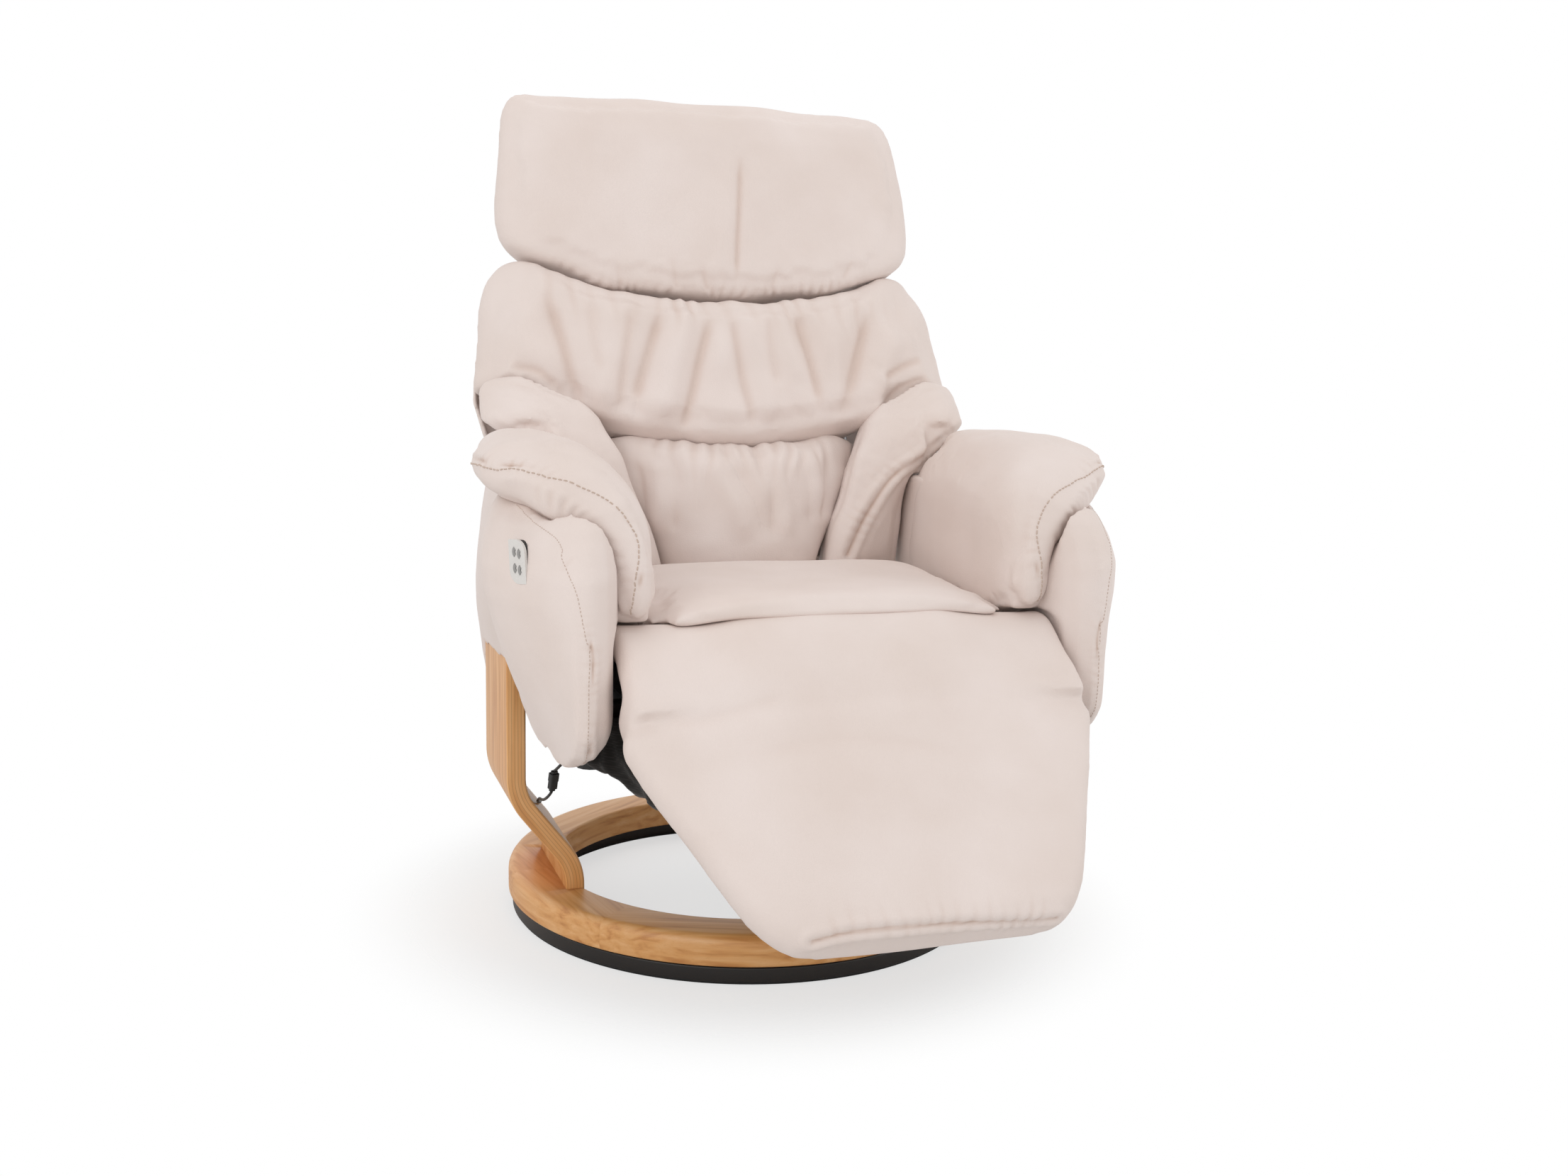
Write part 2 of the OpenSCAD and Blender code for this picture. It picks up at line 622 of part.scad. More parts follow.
module arm_box(side) {
    color(leather) at_axis() on_side(side) difference() {
        intersection() {
            arm_form();
            union() {
                seam_region(arm_in - 5, -1);
                translate([arm_in - 5, seam_y + seat_gap / 2, 270]) cube([box_x - arm_in + 5, 600, 320]);
            }
            across(arm_in - 5, arm_out + 40)
                polygon([[arm_rear_y, seat_bottom_z + 3], [arm_rear_y, arm_top_z - 14],
                [arm_rear_y - 14, arm_top_z + 1], [-430, arm_top_z + 1], [-430, 270],
                    [tray_front_y - 2, 270],
                [tray_front_y - 2, seat_bottom_z + 3]]);
            // Front view: the lower inner edge slopes up and in
            translate([0, 200, 0]) rotate([90, 0, 0]) linear_extrude(650)
                polygon([[arm_out, 280], [299, 294],
                [283, 320], [268, 345], [arm_in - 1, 353], [arm_in - 1, 600], [arm_out, 600]]);
        }
        // Room for the bolts' heads
        for (y = top_bolt_y) for (z = top_bolt_z) translate([plate_in - bolt_head_t - seat_gap, y, z])
            rotate([0, 90, 0])
            cylinder(r = bolt_head_r + bore_gap, h = 2 * bolt_head_t);
        // Room for the knee roll to swing
        translate([arm_in - 5, foot_hinge[0], foot_hinge[1]]) rotate([0, 90, 0])
            cylinder(r = knee_r + moving_gap, h = knee_half_w + moving_gap - arm_in + 5, $fn = 72);
        pad_form(soft_gap);
        if (side < 0) mirror([1, 0, 0]) switch_space();
    }
}
module arm_box_right() { arm_box(-1); }
module arm_box_left() { arm_box(1); }

// Arm pad: a flat roll along a spine that runs forward over the arm and droops down its inner front corner
// Spine point, and share of the pad's half width and half thickness there
pad_rows = [[[316, pad_rear_y, 605], 0.48, 0.5], [[315, pad_rear_y - 16, 607], 0.68, 0.86],
    [[314, 8, 609], 0.76, 0.98],
            [[318, -60, 611], 0.84, 1], [[325, -120, 611], 0.93, 1], [[331, -178, 611], 1, 1],
                [[330, -226, 609], 1, 0.96],
            [[316, -266, 601], 0.91, 0.9], [[294, -300, 585], 0.73, 0.82], [[269, -323, 562], 0.54, 0.73],
            [[250, -335, 534], 0.39, 0.65], [[241, -341, 505], 0.35, 0.60], [[239, -343, 478], 0.31, 0.54],
            [[240, -343, 463], 0.23, 0.42], [[241, -343, 456], 0.10, 0.2]];
pad_ring_n = 22;
function pad_ring(i, grow) = let (n = len(pad_rows), r = pad_rows[i],
    t = unit(pad_rows[min(i + 1, n - 1)][0] - pad_rows[max(i - 1, 0)][0]),
    w = unit([1, 0, 0] - t * t[0]), up = cross(t, w))
    [for (q = oval(pad_ring_n, pad_half_w * r[1] + grow, pad_half_t * r[2] + grow, 2.2))
        r[0] + w * q[0] + up * q[1]];
module pad_form(grow) { loft([for (i = [0:len(pad_rows) - 1]) pad_ring(i, grow)]); }

module arm_pad(side) {
    color(leather) at_axis() on_side(side) pad_form(0);
}
module arm_pad_right() { arm_pad(-1); }
module arm_pad_left() { arm_pad(1); }

// Drives, under the seat

module control_box() {
    color(black) at_axis() translate([0, -30, tray_z + tray_wall]) linear_extrude(32)
        polygon(soften([[-65, -55], [65, -55], [65, 55], [-65, 55]], 8));
}

// A drive that lies along Y: its eye is at y0 and its tube ends at y1
module drive(y0, y1, z) {
    dir = sign(y1 - y0);
    box_near = y0 + dir * 16;
    box_far = y0 + dir * 106;
    difference() {
        union() {
            translate([0, box_near, z]) rotate([dir > 0 ? -90 : 90, 0, 0]) linear_extrude(90)
                polygon(soften([[-28, -18], [28, -18], [28, 18], [-28, 18]], 8));
            translate([0, box_far, z]) rotate([dir > 0 ? -90 : 90, 0, 0])
                cylinder(r = drive_tube_r, h = abs(y1 - box_far));
            link([y0, z], [box_near, z], 9, 9, -12, 12);
        }
        translate([0, y1 + dir, z]) rotate([dir > 0 ? 90 : -90, 0, 0])
            cylinder(r = rod_r + run_gap, h = abs(y1 - box_far) + 1);
        translate([-20, y0, z]) rotate([0, 90, 0]) cylinder(r = 5 + bore_gap, h = 40);
    }
    translate([-17, y0, z]) rotate([0, 90, 0]) cylinder(r = 5, h = 34);
}

module foot_motor() { color("#3a3a3c") at_axis() translate([-drive_x, 0, 0])
    drive(rear_rail_y - 14, -120, foot_drive_z); }
module back_motor() { color("#3a3a3c") at_axis() translate([drive_x, 0, 0])
    drive(front_rail_y + 14, 10, back_drive_z); }

// A rod from y0 inside its tube to a fork whose ears reach past the lever's eye at y1
module drive_rod(y0, y1, z) {
    dir = sign(y1 - y0);
    ear_in = lever_t / 2 + fork_gap;
    difference() {
        union() {
            translate([0, y0, z]) rotate([dir > 0 ? -90 : 90, 0, 0])
                cylinder(r = rod_r, h = abs(y1 - y0) - 22);
            translate([0, y1 - dir * 22, z]) rotate([dir > 0 ? -90 : 90, 0, 0]) cylinder(r = 10, h = 8);
            for (x = [-ear_in - fork_ear, ear_in])
                link([y1, z], [y1 - dir * 20, z], 10, 10, x, x + fork_ear);
        }
        translate([-20, y1, z]) rotate([0, 90, 0]) cylinder(r = 5 + bore_gap, h = 40);
        translate([-ear_in, y1 - 14, z - 20]) cube([2 * ear_in, 28, 40]);
    }
}

module foot_rod() { color(steel) at_axis() translate([-drive_x, 0, 0])
    drive_rod(-58, foot_hinge[0], foot_drive_z); }
module back_rod() { color(steel) at_axis() translate([drive_x, 0, 0])
    drive_rod(-60, back_lever_y, back_drive_z); }

// Switch

// The skin's distance from the middle at a point, and its turn towards the front there
function skin_at(y, z) = let (front = table([for (r = arm_rows) [r[0], r[1]]], z),
    full = table([for (r = arm_rows) [r[0], r[2]]], z),
    t = 1 - (panel_rear_y - y * 403 / front) / arm_length) skin_x([t, table(skin_rows, t), 0], full, 0);
switch_x = skin_at(switch_y, switch_z);
switch_turn = atan2(skin_at(switch_y + 12, switch_z) - skin_at(switch_y - 12, switch_z), 24);
module at_switch() {
    translate([-switch_x, switch_y, switch_z]) rotate([0, 0, switch_turn]) rotate([0, -90, 0])
        rotate([0, 0, 90 + switch_lean])
        children();
}
// A leaf: two corners are rounded wide and two are tight
module switch_leaf(grow = 0) {
    w = switch_w / 2 + grow;
    l = switch_l / 2 + grow;
    r = 15;
    polygon(concat([[-w, l - 1], [-w + 1, l]], arc([w - r, l - r], r, 90, 0), [[w, -l + 1], [w - 1, -l]],
        arc([-w + r, -l + r], r, 270, 180)));
}
module switch_space() {
    at_switch() translate([0, 0, -switch_box_t - soft_gap]) linear_extrude(switch_box_t + 60)
        switch_leaf(soft_gap);
}
key_places = [[-3.5, 9], [4.5, 7], [-3.5, -8.5], [4.5, -10.5]];
module key_outline(i, grow = 0) {
    w = key_w / 2 + grow;
    l = key_l / 2 + grow;
    translate(key_places[i]) polygon(concat(arc([-5, 0], 5 + w, -50, 50, 8),
        arc([-5, 0], 5 - w, 50, -50, 8)));
}
module key(i) {
    color("#5a5c5e") at_axis() at_switch() translate([0, 0, switch_proud + 0.9 - key_h])
        linear_extrude(key_h) key_outline(i);
}
module key_back_up() { key(0); }
module key_back_down() { key(1); }
module key_foot_up() { key(2); }
module key_foot_down() { key(3); }

module switch_plate() {
    color("#d8d6d2") at_axis() at_switch() difference() {
        linear_extrude(switch_proud) switch_leaf();
        for (i = [0:3]) translate([0, 0, -1]) linear_extrude(switch_proud + 2) key_outline(i, 0.35);
    }
}
module switch_box() {
    color(black) at_axis() at_switch() difference() {
        translate([0, 0, -switch_box_t]) linear_extrude(switch_box_t) switch_leaf(-1);
        for (i = [0:3]) translate([0, 0, -6]) linear_extrude(7) key_outline(i, 0.35);
    }
}

// Lining: a black cloth bag that hangs from the tray's front to the footrest's board

lining_wall = 3;
// Distance ahead of the tray's front, half width, bottom and top
lining_rows = [[0, 283, 267, 292], [20, 266, 257, 325], [46, 249, 251, 338], [78, 238, 246, 340],
    [118, 229, 241, 336],
               [158, 221, 236, 340], [190, 214, 231, 340]];
function lining_ring(d, w, z0, z1) = [[-w, tray_front_y - 1 - d, z0], [w, tray_front_y - 1 - d, z0],
    [w, tray_front_y - 1 - d, z1], [-w, tray_front_y - 1 - d, z1]];

module lining() {
    n = len(lining_rows) - 1;
    color(black) at_axis() difference() {
        loft([for (r = lining_rows) lining_ring(r[0], r[1], r[2], r[3])]);
        loft([for (i = [0:n]) let (r = lining_rows[i], end = i == 0 ? -2 : i == n ? -lining_wall : 0)
            lining_ring(r[0] + end, r[1] - lining_wall, r[2] + lining_wall, r[3] + 9)]);
        foot_frame_of_reference() {
            translate([-300, -400, board_top - 0.5]) cube([600, 352, 200]);
            translate([-300, -100, knee_r - knee_t - 2]) cube([600, 180, 200]);
            translate([-206, -400, board_top - board_t - 0.6]) cube([412, 360, 200]);
            for (side = [-1, 1]) on_side(side) translate([lug_x - lug_t / 2 - 10, -310, -19])
                cube([12, 310, 30]);
        }
    }
}

// Backrest, drawn upright about its hinge: x across, y to the rear, z along the back

tube_r = frame_tube_d / 2;
tube_y = -cushion_front + cushion_depth + tube_r + 2;
bracket_x = plate_in - 5;
bracket_t = 5;
cross_z = 95;

module tube_between(a, b, r) {
    v = b - a;
    translate(a) rotate([0, acos(v[2] / norm(v)), atan2(v[1], v[0])]) cylinder(r = r, h = norm(v));
}

module back_brackets() {
    lever_end = [back_lever_y - back_hinge[0], -back_lever_drop];
    color(steel) at_axis() {
        for (side = [-1, 1]) on_side(side) difference() {
            translate([0, back_hinge[0], back_hinge[1]]) rotate([-back_lean, 0, 0])
                link([0, 0], [tube_y, cross_z], 14, tube_r + 2, bracket_x - bracket_t, bracket_x);
            translate([bracket_x - 20, back_hinge[0], back_hinge[1]]) rotate([0, 90, 0])
                cylinder(r = pin_r + run_gap, h = 40);
        }
        difference() {
            translate([0, back_hinge[0], back_hinge[1]])
                across(drive_x - lever_t / 2, drive_x + lever_t / 2) {
                hull() {
                    rotate([0, 0, -back_lean]) translate([tube_y, cross_z]) circle(r = tube_r + 5);
                    circle(r = 14);
                }
                hull() {
                    circle(r = 14);
                    translate(lever_end) circle(r = 11);
                }
            }
            back_frame_of_reference() translate([drive_x - 10, tube_y, cross_z]) rotate([0, 90, 0])
                cylinder(r = tube_r + 0.1, h = 20);
        }
    }
}

module back_frame() {
    top_z = back_length - 68;
    color(steel) at_axis() back_frame_of_reference() {
        translate([-bracket_x + bracket_t + 0.1, tube_y, cross_z]) rotate([0, 90, 0])
            cylinder(r = tube_r, h = 2 * (bracket_x - bracket_t) - 0.2);
        for (side = [-1, 1]) on_side(side)
            tube_between([frame_half_w, tube_y, cross_z], [frame_half_w, tube_y, top_z], tube_r - 1);
        translate([-frame_half_w, tube_y, top_z]) rotate([0, 90, 0])
            cylinder(r = tube_r, h = 2 * frame_half_w);
        translate([-frame_half_w, tube_y, 240]) rotate([0, 90, 0])
            cylinder(r = tube_r - 2, h = 2 * frame_half_w);
    }
}

module back_webbing() {
    color(black) at_axis() back_frame_of_reference() for (z = [120:44:300])
        translate([-frame_half_w, tube_y - tube_r - strap_t + 0.9, z - 15])
            cube([2 * frame_half_w, strap_t - 1, 30]);
}

// Heights above the lumbar cushion are shares of the way to the headrest
lumbar_top = 158.5;
head_room = 35;
shoulder_top = back_length - head_room;
function up_back(share) = lumbar_top + share * (shoulder_top - lumbar_top);
// Height along the back, and half width of the backrest's outline there
outline_rows = [[20, 190], [60, 226], [140, 232], [up_back(0.064), 290], [up_back(0.196), 330],
    [up_back(0.433), 342],
                [up_back(0.589), 338], [up_back(0.797), 329], [up_back(0.924), 322],
                    [up_back(0.9905), 316]];

// A ring of the rear shell: flat in front, bowed behind
function shell_ring(z, w, depth)
    = [for (p = oval(40, w, depth, 2.8)) [p[0], shell_front + max(0, p[1]), z]];
shell_front = -cushion_front + cushion_depth + 0.5;
shell_depth = [14, 42, 48, 50, 50, 50, 50, 48, 40, 20];
module back_shell() {
    n = len(outline_rows) - 1;
    color(leather) at_axis() back_frame_of_reference() difference() {
        loft([for (i = [0:n]) shell_ring(outline_rows[i][0], outline_rows[i][1], shell_depth[i])]);
        translate([0, -0.5, 0]) loft([for (i = [0:n])
            shell_ring(outline_rows[i][0] + (i == 0 ? shell_wall : i == n ? -shell_wall : 0),
            outline_rows[i][1] - shell_wall, max(shell_depth[i] - shell_wall + 0.5, 5))]);
        // Ways out for the cross tube and for the drive's lever
        translate([-400, tube_y, cross_z]) rotate([0, 90, 0]) cylinder(r = tube_r + 1, h = 800);
        translate([drive_x - 8, shell_front - 1, 0]) cube([16, 60, 90]);
        // Slots for the headrest's hooks
        for (side = [-1, 1])
            translate([side * hook_x - hook_t / 2 - moving_gap / 2, shell_front - 1, shoulder_top - 40])
            cube([hook_t + moving_gap, 24, 60]);
    }
}

// Cushion rings: width from -w to w about a widest line, a share of the full front depth, and lifted ends
cushion_ring_n = 36;
widest_y = -74;
front_reach = cushion_front + widest_y;
rear_reach = cushion_depth - front_reach;
function cushion_ring(r, grow = 0) = [for (p = oval(cushion_ring_n, 1, 1, 2.5))
    [p[0] * (r[1] + grow), widest_y +
        (p[1] < 0 ? p[1] * (front_reach * r[2] + grow) : p[1] * (rear_reach + grow)),
     r[0] + r[3] * pow(p[0] * r[1] / 300, 2)]];

// Height at which the cushions end over the sunken rear of the seat
back_cut_z = seat_top_z - 15;
lumbar_rows = [[-10, 98, 0.86, 0], [16, 112, 0.97, 0], [48, 127, 1, 0], [92, 146, 1, 4],
    [122, 158, 0.97, 30], [140, 165, 0.87, 55],
               [151, 166, 0.70, 80], [157, 158, 0.48, 86]];
// Share of the way to the headrest, half width, share of the front depth, and lift of the ends
shoulder_shares = [[0, 172, 0.50, 90], [0.021, 225, 0.76, 84], [0.059, 285, 0.95, 72], [0.13, 325, 1, 56],
    [0.253, 343, 1, 30], [0.433, shoulder_half_w, 0.98, 8], [0.622, 340, 0.97, 12], [0.764, 328, 0.97, 28],
    [0.882, 311, 0.96, 46], [0.939, 302, 0.92, 56], [0.976, 294, 0.82, 59], [1, 284, 0.62, 60]];
shoulder_rows = [for (r = shoulder_shares) [up_back(r[0]), r[1], r[2], r[3]]];

module lumbar_cushion() {
    color(leather) at_axis() intersection() {
        back_frame_of_reference() loft([for (r = lumbar_rows) cushion_ring(r)], true);
        translate([-300, -300, back_cut_z]) cube([600, 600, 600]);
    }
}

module shoulder_cushion() {
    color(leather) at_axis() difference() {
        back_frame_of_reference() difference() {
            loft([for (r = shoulder_rows) cushion_ring(r)], true);
            // Folds that the headrest's hooks pass through
            for (side = [-1, 1])
                translate([side * hook_x - hook_t / 2 - moving_gap / 2, -96, shoulder_top - 52])
                cube([hook_t + moving_gap, 60, 100]);
        }
        arm_room();
    }
}

// Space that the arms and their pads take between the backrest's sides
module arm_room() {
    pad_top = 611 + pad_half_t + 4;
    for (side = [-1, 1]) on_side(side) {
        translate([arm_in - 4, -300, 300])
            cube([200, 300 + arm_rear_y + moving_gap, arm_top_z + moving_gap - 300]);
        translate([262, -300, 300]) cube([200, 300 + arm_rear_y + moving_gap, pad_top - 300]);
    }
}

// Wings: height along the back, inner edge, ridge, outer edge and rear
wing_rows = [[-12, [112, -96], [134, -125], [230, -82], -52],
    [20, [124, -108], [148, -136], [235, -98], -52],
             [50, [136, -120], [168, -148], [237, -116], -52],
                 [94, [156, -136], [207, -167], [240, -142], -56],
             [130, [168, -146], [250, -178], [268, -152], -70],
                 [160, [178, -152], [282, -177], [306, -150], -90],
             [190, [190, -150], [303, -170], [329, -142], -100],
                 [212, [206, -140], [311, -157], [337, -132], -105],
             [234, [230, -128], [308, -143], [339, -124], -108],
                 [249, [258, -121], [302, -132], [334, -119], -110],
             [257, [282, -115], [302, -120], [322, -114], -108]];
function wing_ring(r) = [for (p = soften([r[1], r[2], r[3], [r[3][0], r[4]], [r[1][0], r[4]]], 16, 3))
    [p[0], p[1], r[0]]];

module wing(side) {
    color(leather) at_axis() on_side(side) difference() {
        back_frame_of_reference() loft([for (r = wing_rows) wing_ring(r)]);
        arm_room();
        back_frame_of_reference() {
            loft([for (r = lumbar_rows) cushion_ring(r, soft_gap)], true);
            translate([0, 0, -0.5]) loft([for (r = shoulder_rows) cushion_ring(r, soft_gap)], true);
            translate([0, shell_front - 10.5, -100]) cube([400, 100, 600]);
        }
        translate([0, -300, 300]) cube([400, 600, back_cut_z - 300]);
    }
}
module wing_right() { wing(-1); }
module wing_left() { wing(1); }

// Headrest, drawn about its hinge at the top of the back

head_hinge = [-85, back_length];
hook_x = 90;
hook_t = 5;
head_pin_r = 6;
module head_frame_of_reference() {
    back_frame_of_reference() translate([0, head_hinge[0], head_hinge[1]]) rotate([head_forward, 0, 0])
        children();
}

// Two hooks on the back frame's top tube carry the headrest's pins
module head_bracket() {
    top_z = back_length - 68;
    color(steel) at_axis() back_frame_of_reference() for (side = [-1, 1]) on_side(side) difference() {
        link([tube_y, top_z], head_hinge, tube_r + 4, head_pin_r + 5, hook_x - hook_t / 2,
            hook_x + hook_t / 2);
        translate([hook_x - 10, tube_y, top_z]) rotate([0, 90, 0]) cylinder(r = tube_r + 0.1, h = 20);
        translate([hook_x - 10, head_hinge[0], head_hinge[1]]) rotate([0, 90, 0])
            cylinder(r = head_pin_r + run_gap, h = 20);
    }
}

module head_pins() {
    color(steel) at_axis() back_frame_of_reference() for (side = [-1, 1]) on_side(side)
        translate([hook_x - 14, head_hinge[0], head_hinge[1]]) rotate([0, 90, 0])
            cylinder(r = head_pin_r, h = 28);
}

// Height above the hinge, half width, half thickness and lift of the ends
head_rows = [[-27, 225, 22, 62], [-22, 268, 40, 59], [-8, 290, 49, 54], [16, 300, 51, 44],
    [50, head_half_w, 51, 32], [90, 304, 50, 22],
             [130, 302, 49, 14], [170, 298, 47, 6], [205, 293, 43, 0], [235, 285, 36, -4],
                 [256, 275, 26, -6], [267, 264, 16, -7],
             [head_h + 2, 250, 7, -7]];
module headrest_cushion() {
    color(leather) at_axis() difference() {
        head_frame_of_reference() loft([for (r = head_rows)
            [for (p = oval(40, r[1], r[2] * head_half_t / 50, 2.6))
                [p[0], p[1] - 4, r[0] + r[3] * pow(p[0] / 300, 2)]]], true);
        back_frame_of_reference() translate([0, head_hinge[0], head_hinge[1]]) for (side = [-1, 1])
            on_side(side) {
            // Slots that the hooks swing in, and the pins' seats
            across(hook_x - hook_t / 2 - moving_gap, hook_x + hook_t / 2 + moving_gap) {
                circle(r = head_pin_r + 5 + moving_gap);
                polygon([[-22, -4], [4, 14], [90, -10], [90, -90], [-22, -90]]);
            }
            translate([hook_x - 14 - bore_gap, 0, 0]) rotate([0, 90, 0])
                cylinder(r = head_pin_r + seat_gap, h = 28 + 2 * bore_gap);
        }
    }
}

// Footrest, drawn level about its hinge: -y is along the footrest and z is square to its top

board_top = 13;
module foot_arms() {
    color(steel) at_axis() foot_frame_of_reference() {
        for (side = [-1, 1]) on_side(side) difference() {
            union() {
                link([0, 0], [-60, -12], 15, 10, lug_x - lug_t / 2 - 7, lug_x - lug_t / 2 - 1);
                across(lug_x - lug_t / 2 - 7, lug_x - lug_t / 2 - 1)
                    polygon(soften([[-30, -16], [-30, board_top - board_t],
                    [-300, board_top - board_t], [-300, -8]], 4));
            }
            translate([lug_x - 30, 0, 0]) rotate([0, 90, 0]) cylinder(r = pin_r + run_gap, h = 60);
        }
    }
    color(steel) at_axis() translate([0, foot_hinge[0], foot_hinge[1]]) difference() {
        union() {
            translate([-lug_x + lug_t / 2 + 7, 0, 0]) rotate([0, 90, 0])
                cylinder(r = 14, h = 2 * (lug_x - lug_t / 2 - 7));
            link([0, 0], [0, -lever_r], 16, 11, -drive_x - lever_t / 2, -drive_x + lever_t / 2);
        }
        for (side = [-1, 1]) on_side(side) translate([lug_x - lug_t / 2 - 21, 0, 0]) rotate([0, 90, 0])
            cylinder(r = pin_r + run_gap, h = 60);
    }
}

// Distance from the hinge, half width and fullness of the footrest pad
foot_rows = [[80.3, 262, 0.91], [84, 269, 0.955], [92, 274, 0.99], [106, 273, 1], [139, 262, 1],
    [171, 249, 1], [217, 226, 1], [263, 204, 0.99],
             [306, 184, 0.96], [330, 168, 0.92], [344, 152, 0.82], [foot_length, 138, 0.62]];

module foot_board() {
    color("#b99b74") at_axis() foot_frame_of_reference() translate([0, 0, board_top - board_t])
        linear_extrude(board_t)
        polygon(soften([[-190, -50], [190, -50], [204, -140], [foot_end_half_w - 34, -foot_length + 18],
            [-foot_end_half_w + 34, -foot_length + 18], [-204, -140]], 12));
}

// Knee roll: a curved pad about the hinge, whose ends swell out from its top to its front
function knee_section(x) = let (inner = knee_r - knee_t)
    concat([for (a = [4:11:92]) [x, knee_r * cos(a), knee_r * sin(a)]],
        [[x, -40, knee_r], [x, -80, knee_r - 1]],
        [[x, -80, board_top + soft_gap], [x, -52, board_top + soft_gap], [x, -40, inner]],
            [for (a = [92:-11:4]) [x, inner * cos(a), inner * sin(a)]]);
module knee_pad() {
    swell = 10;
    color(leather) at_axis() foot_frame_of_reference() intersection() {
        loft([for (k = [[-1, 0], [1, 0]]) knee_section(k[0] * knee_half_w)]);
        union() {
            rotate([0, 90, 0]) translate([0, 0, -knee_half_w - 1])
                cylinder(r = knee_r, h = 2 * knee_half_w + 2, $fn = 72);
            translate([-knee_half_w - 1, -81, board_top])
                cube([2 * knee_half_w + 2, 82, knee_r - board_top]);
        }
        rotate([90, 0, 0]) translate([0, 0, -100]) linear_extrude(200) polygon(soften([[-knee_half_w, -20],
            [knee_half_w, -20], [knee_half_w, knee_r - knee_t], [knee_half_w - swell, knee_r + 1],
            [-knee_half_w + swell, knee_r + 1], [-knee_half_w, knee_r - knee_t]], 10));
    }
}

module footrest_pad() {
    z0 = board_top + soft_gap;
    top = knee_r + 1.5;
    low = z0 - 18;
    color(leather) at_axis() foot_frame_of_reference() intersection() {
        loft([for (r = foot_rows) [for (p = oval(32, r[1] * foot_half_w / 276, (top - low) / 2 * r[2], 3))
            [p[0], -r[0], (top + low) / 2 + p[1]]]]);
        translate([-400, -500, z0]) cube([800, 500, 200]);
    }
}

// Low-voltage lead: a tail from the tray to an inline connector, and a supply lead that runs down the leg's
// inner face, over the ring behind the leg and along the floor to a coil and a plug-in power supply

gland_y = -236;
gland_z = 274;
gland_neck_r = 3.4;
gland_r = 6;
gland_l = 6;
lead_sides = 8;
connector_top = [-302, -202, 251];
connector_end = [-304, -197, 226];
connector_w = 11;
connector_t = 8.5;
coil_mid = [12, 374];
coil_turns = 9.8;
coil_step = lead_d + 0.62;
coil_rings = 20;
coil_sides = 6;
coil_r = 11 * lead_d / 2;
supply_size = [46, 62, 30];
supply_at = [88, 408];

tail_points = [[-292, -236, 274], [-295, -236, 272.6], [-298, -233, 269], [-300.3, -227, 264],
    [-301.6, -218, 258.6],
               [-302, -210, 254.6], [-302, -204, 252.2]];
supply_points = [[-304.2, -196, 224.6], [-305.6, -192, 220], [-307, -180, 212.6], [-307, -160, 204.4],
    [-305, -132, 196.6],
                 [-301, -98, 187.6], [-296.4, -60, 173], [-287.6, -22, 160], [-278.8, 18, 148],
                     [-271, 58, 138.6],
                 [-266, 92, 128.6], [-262, 122, 113], [-256, 148, 94], [-249, 168, 76], [-242, 184, 66.4],
                 [-238, 198, 64.3], [-237, 212, 63.8], [-239, 222, 58], [-241, 229, 44], [-242, 234, 26],
                 [-240, 241, 9], [-234, 252, 2.6], [-222, 268, 1.9], [-200, 294, 1.9], [-170, 322, 1.9],
                     [-132, 348, 1.9],
                 [-94, 364, 1.9], [-58, 371, 1.9], [-25.6, 381.2, 1.9], [-1.34, 393.05, 1.9]];

function tube_ring(pts, i, r, sides)
    = let (n = len(pts), t = unit(pts[min(i + 1, n - 1)] - pts[max(i - 1, 0)]),
    w = unit(cross(t, abs(t[2]) < 0.9 ? [0, 0, 1] : [1, 0, 0])), v = cross(t, w))
    [for (k = [0:sides - 1]) pts[i] + r * (w * cos(360 * k / sides) + v * sin(360 * k / sides))];

module tube_along(pts, r, sides) { loft([for (i = [0:len(pts) - 1]) tube_ring(pts, i, r, sides)]); }

// The coil is wound up its outer layer, down its middle layer and up its inner layer
function coil_radius(t) = coil_r + coil_step * (t < 3 ? 1 : t < 3.3 ? 1 - (t - 3) / 0.3 : t < 6.3 ? 0
    : t < 6.6 ? -(t - 6.3) / 0.3 : -1);
function coil_height(t) = lead_r + 0.15 +
    coil_step * (t < 3 ? t : t < 3.3 ? 3 : t < 6.3 ? 6.3 - t : t < 6.6 ? 0 : t - 6.6);
function coil_point(t) = let (a = 125 - 360 * t)
    [coil_mid[0] + coil_radius(t) * cos(a), coil_mid[1] + coil_radius(t) * sin(a), coil_height(t)];
coil_line = [for (i = [0:coil_turns * coil_rings]) coil_point(i / coil_rings)];
coil_out = [for (k = [1:6]) let (t = coil_turns + k / coil_rings, a = 125 - 360 * t,
    r = coil_r - coil_step + k * k * 0.5)
    [coil_mid[0] + r * cos(a), coil_mid[1] + r * sin(a), coil_height(coil_turns) + min(k, 3) * 1.45]];
coil_points = concat(coil_line, coil_out);
// The last stretch, from the coil's top to the power supply
coil_end = coil_points[len(coil_points) - 1];
plug_points = [coil_end, coil_end + 13 * unit(coil_end - coil_points[len(coil_points) - 2]),
    [44, 415, 17.6], [65, 414, 15]];

// Least gap of the coil to itself, measured between points a third of a turn or more apart
coil_gap = min([for (i = [0:len(coil_points) - 1]) for (j = [i + 7:1:len(coil_points) - 1])
    norm(coil_points[i] - coil_points[j])]) - lead_d;
echo(coil_gap = coil_gap);

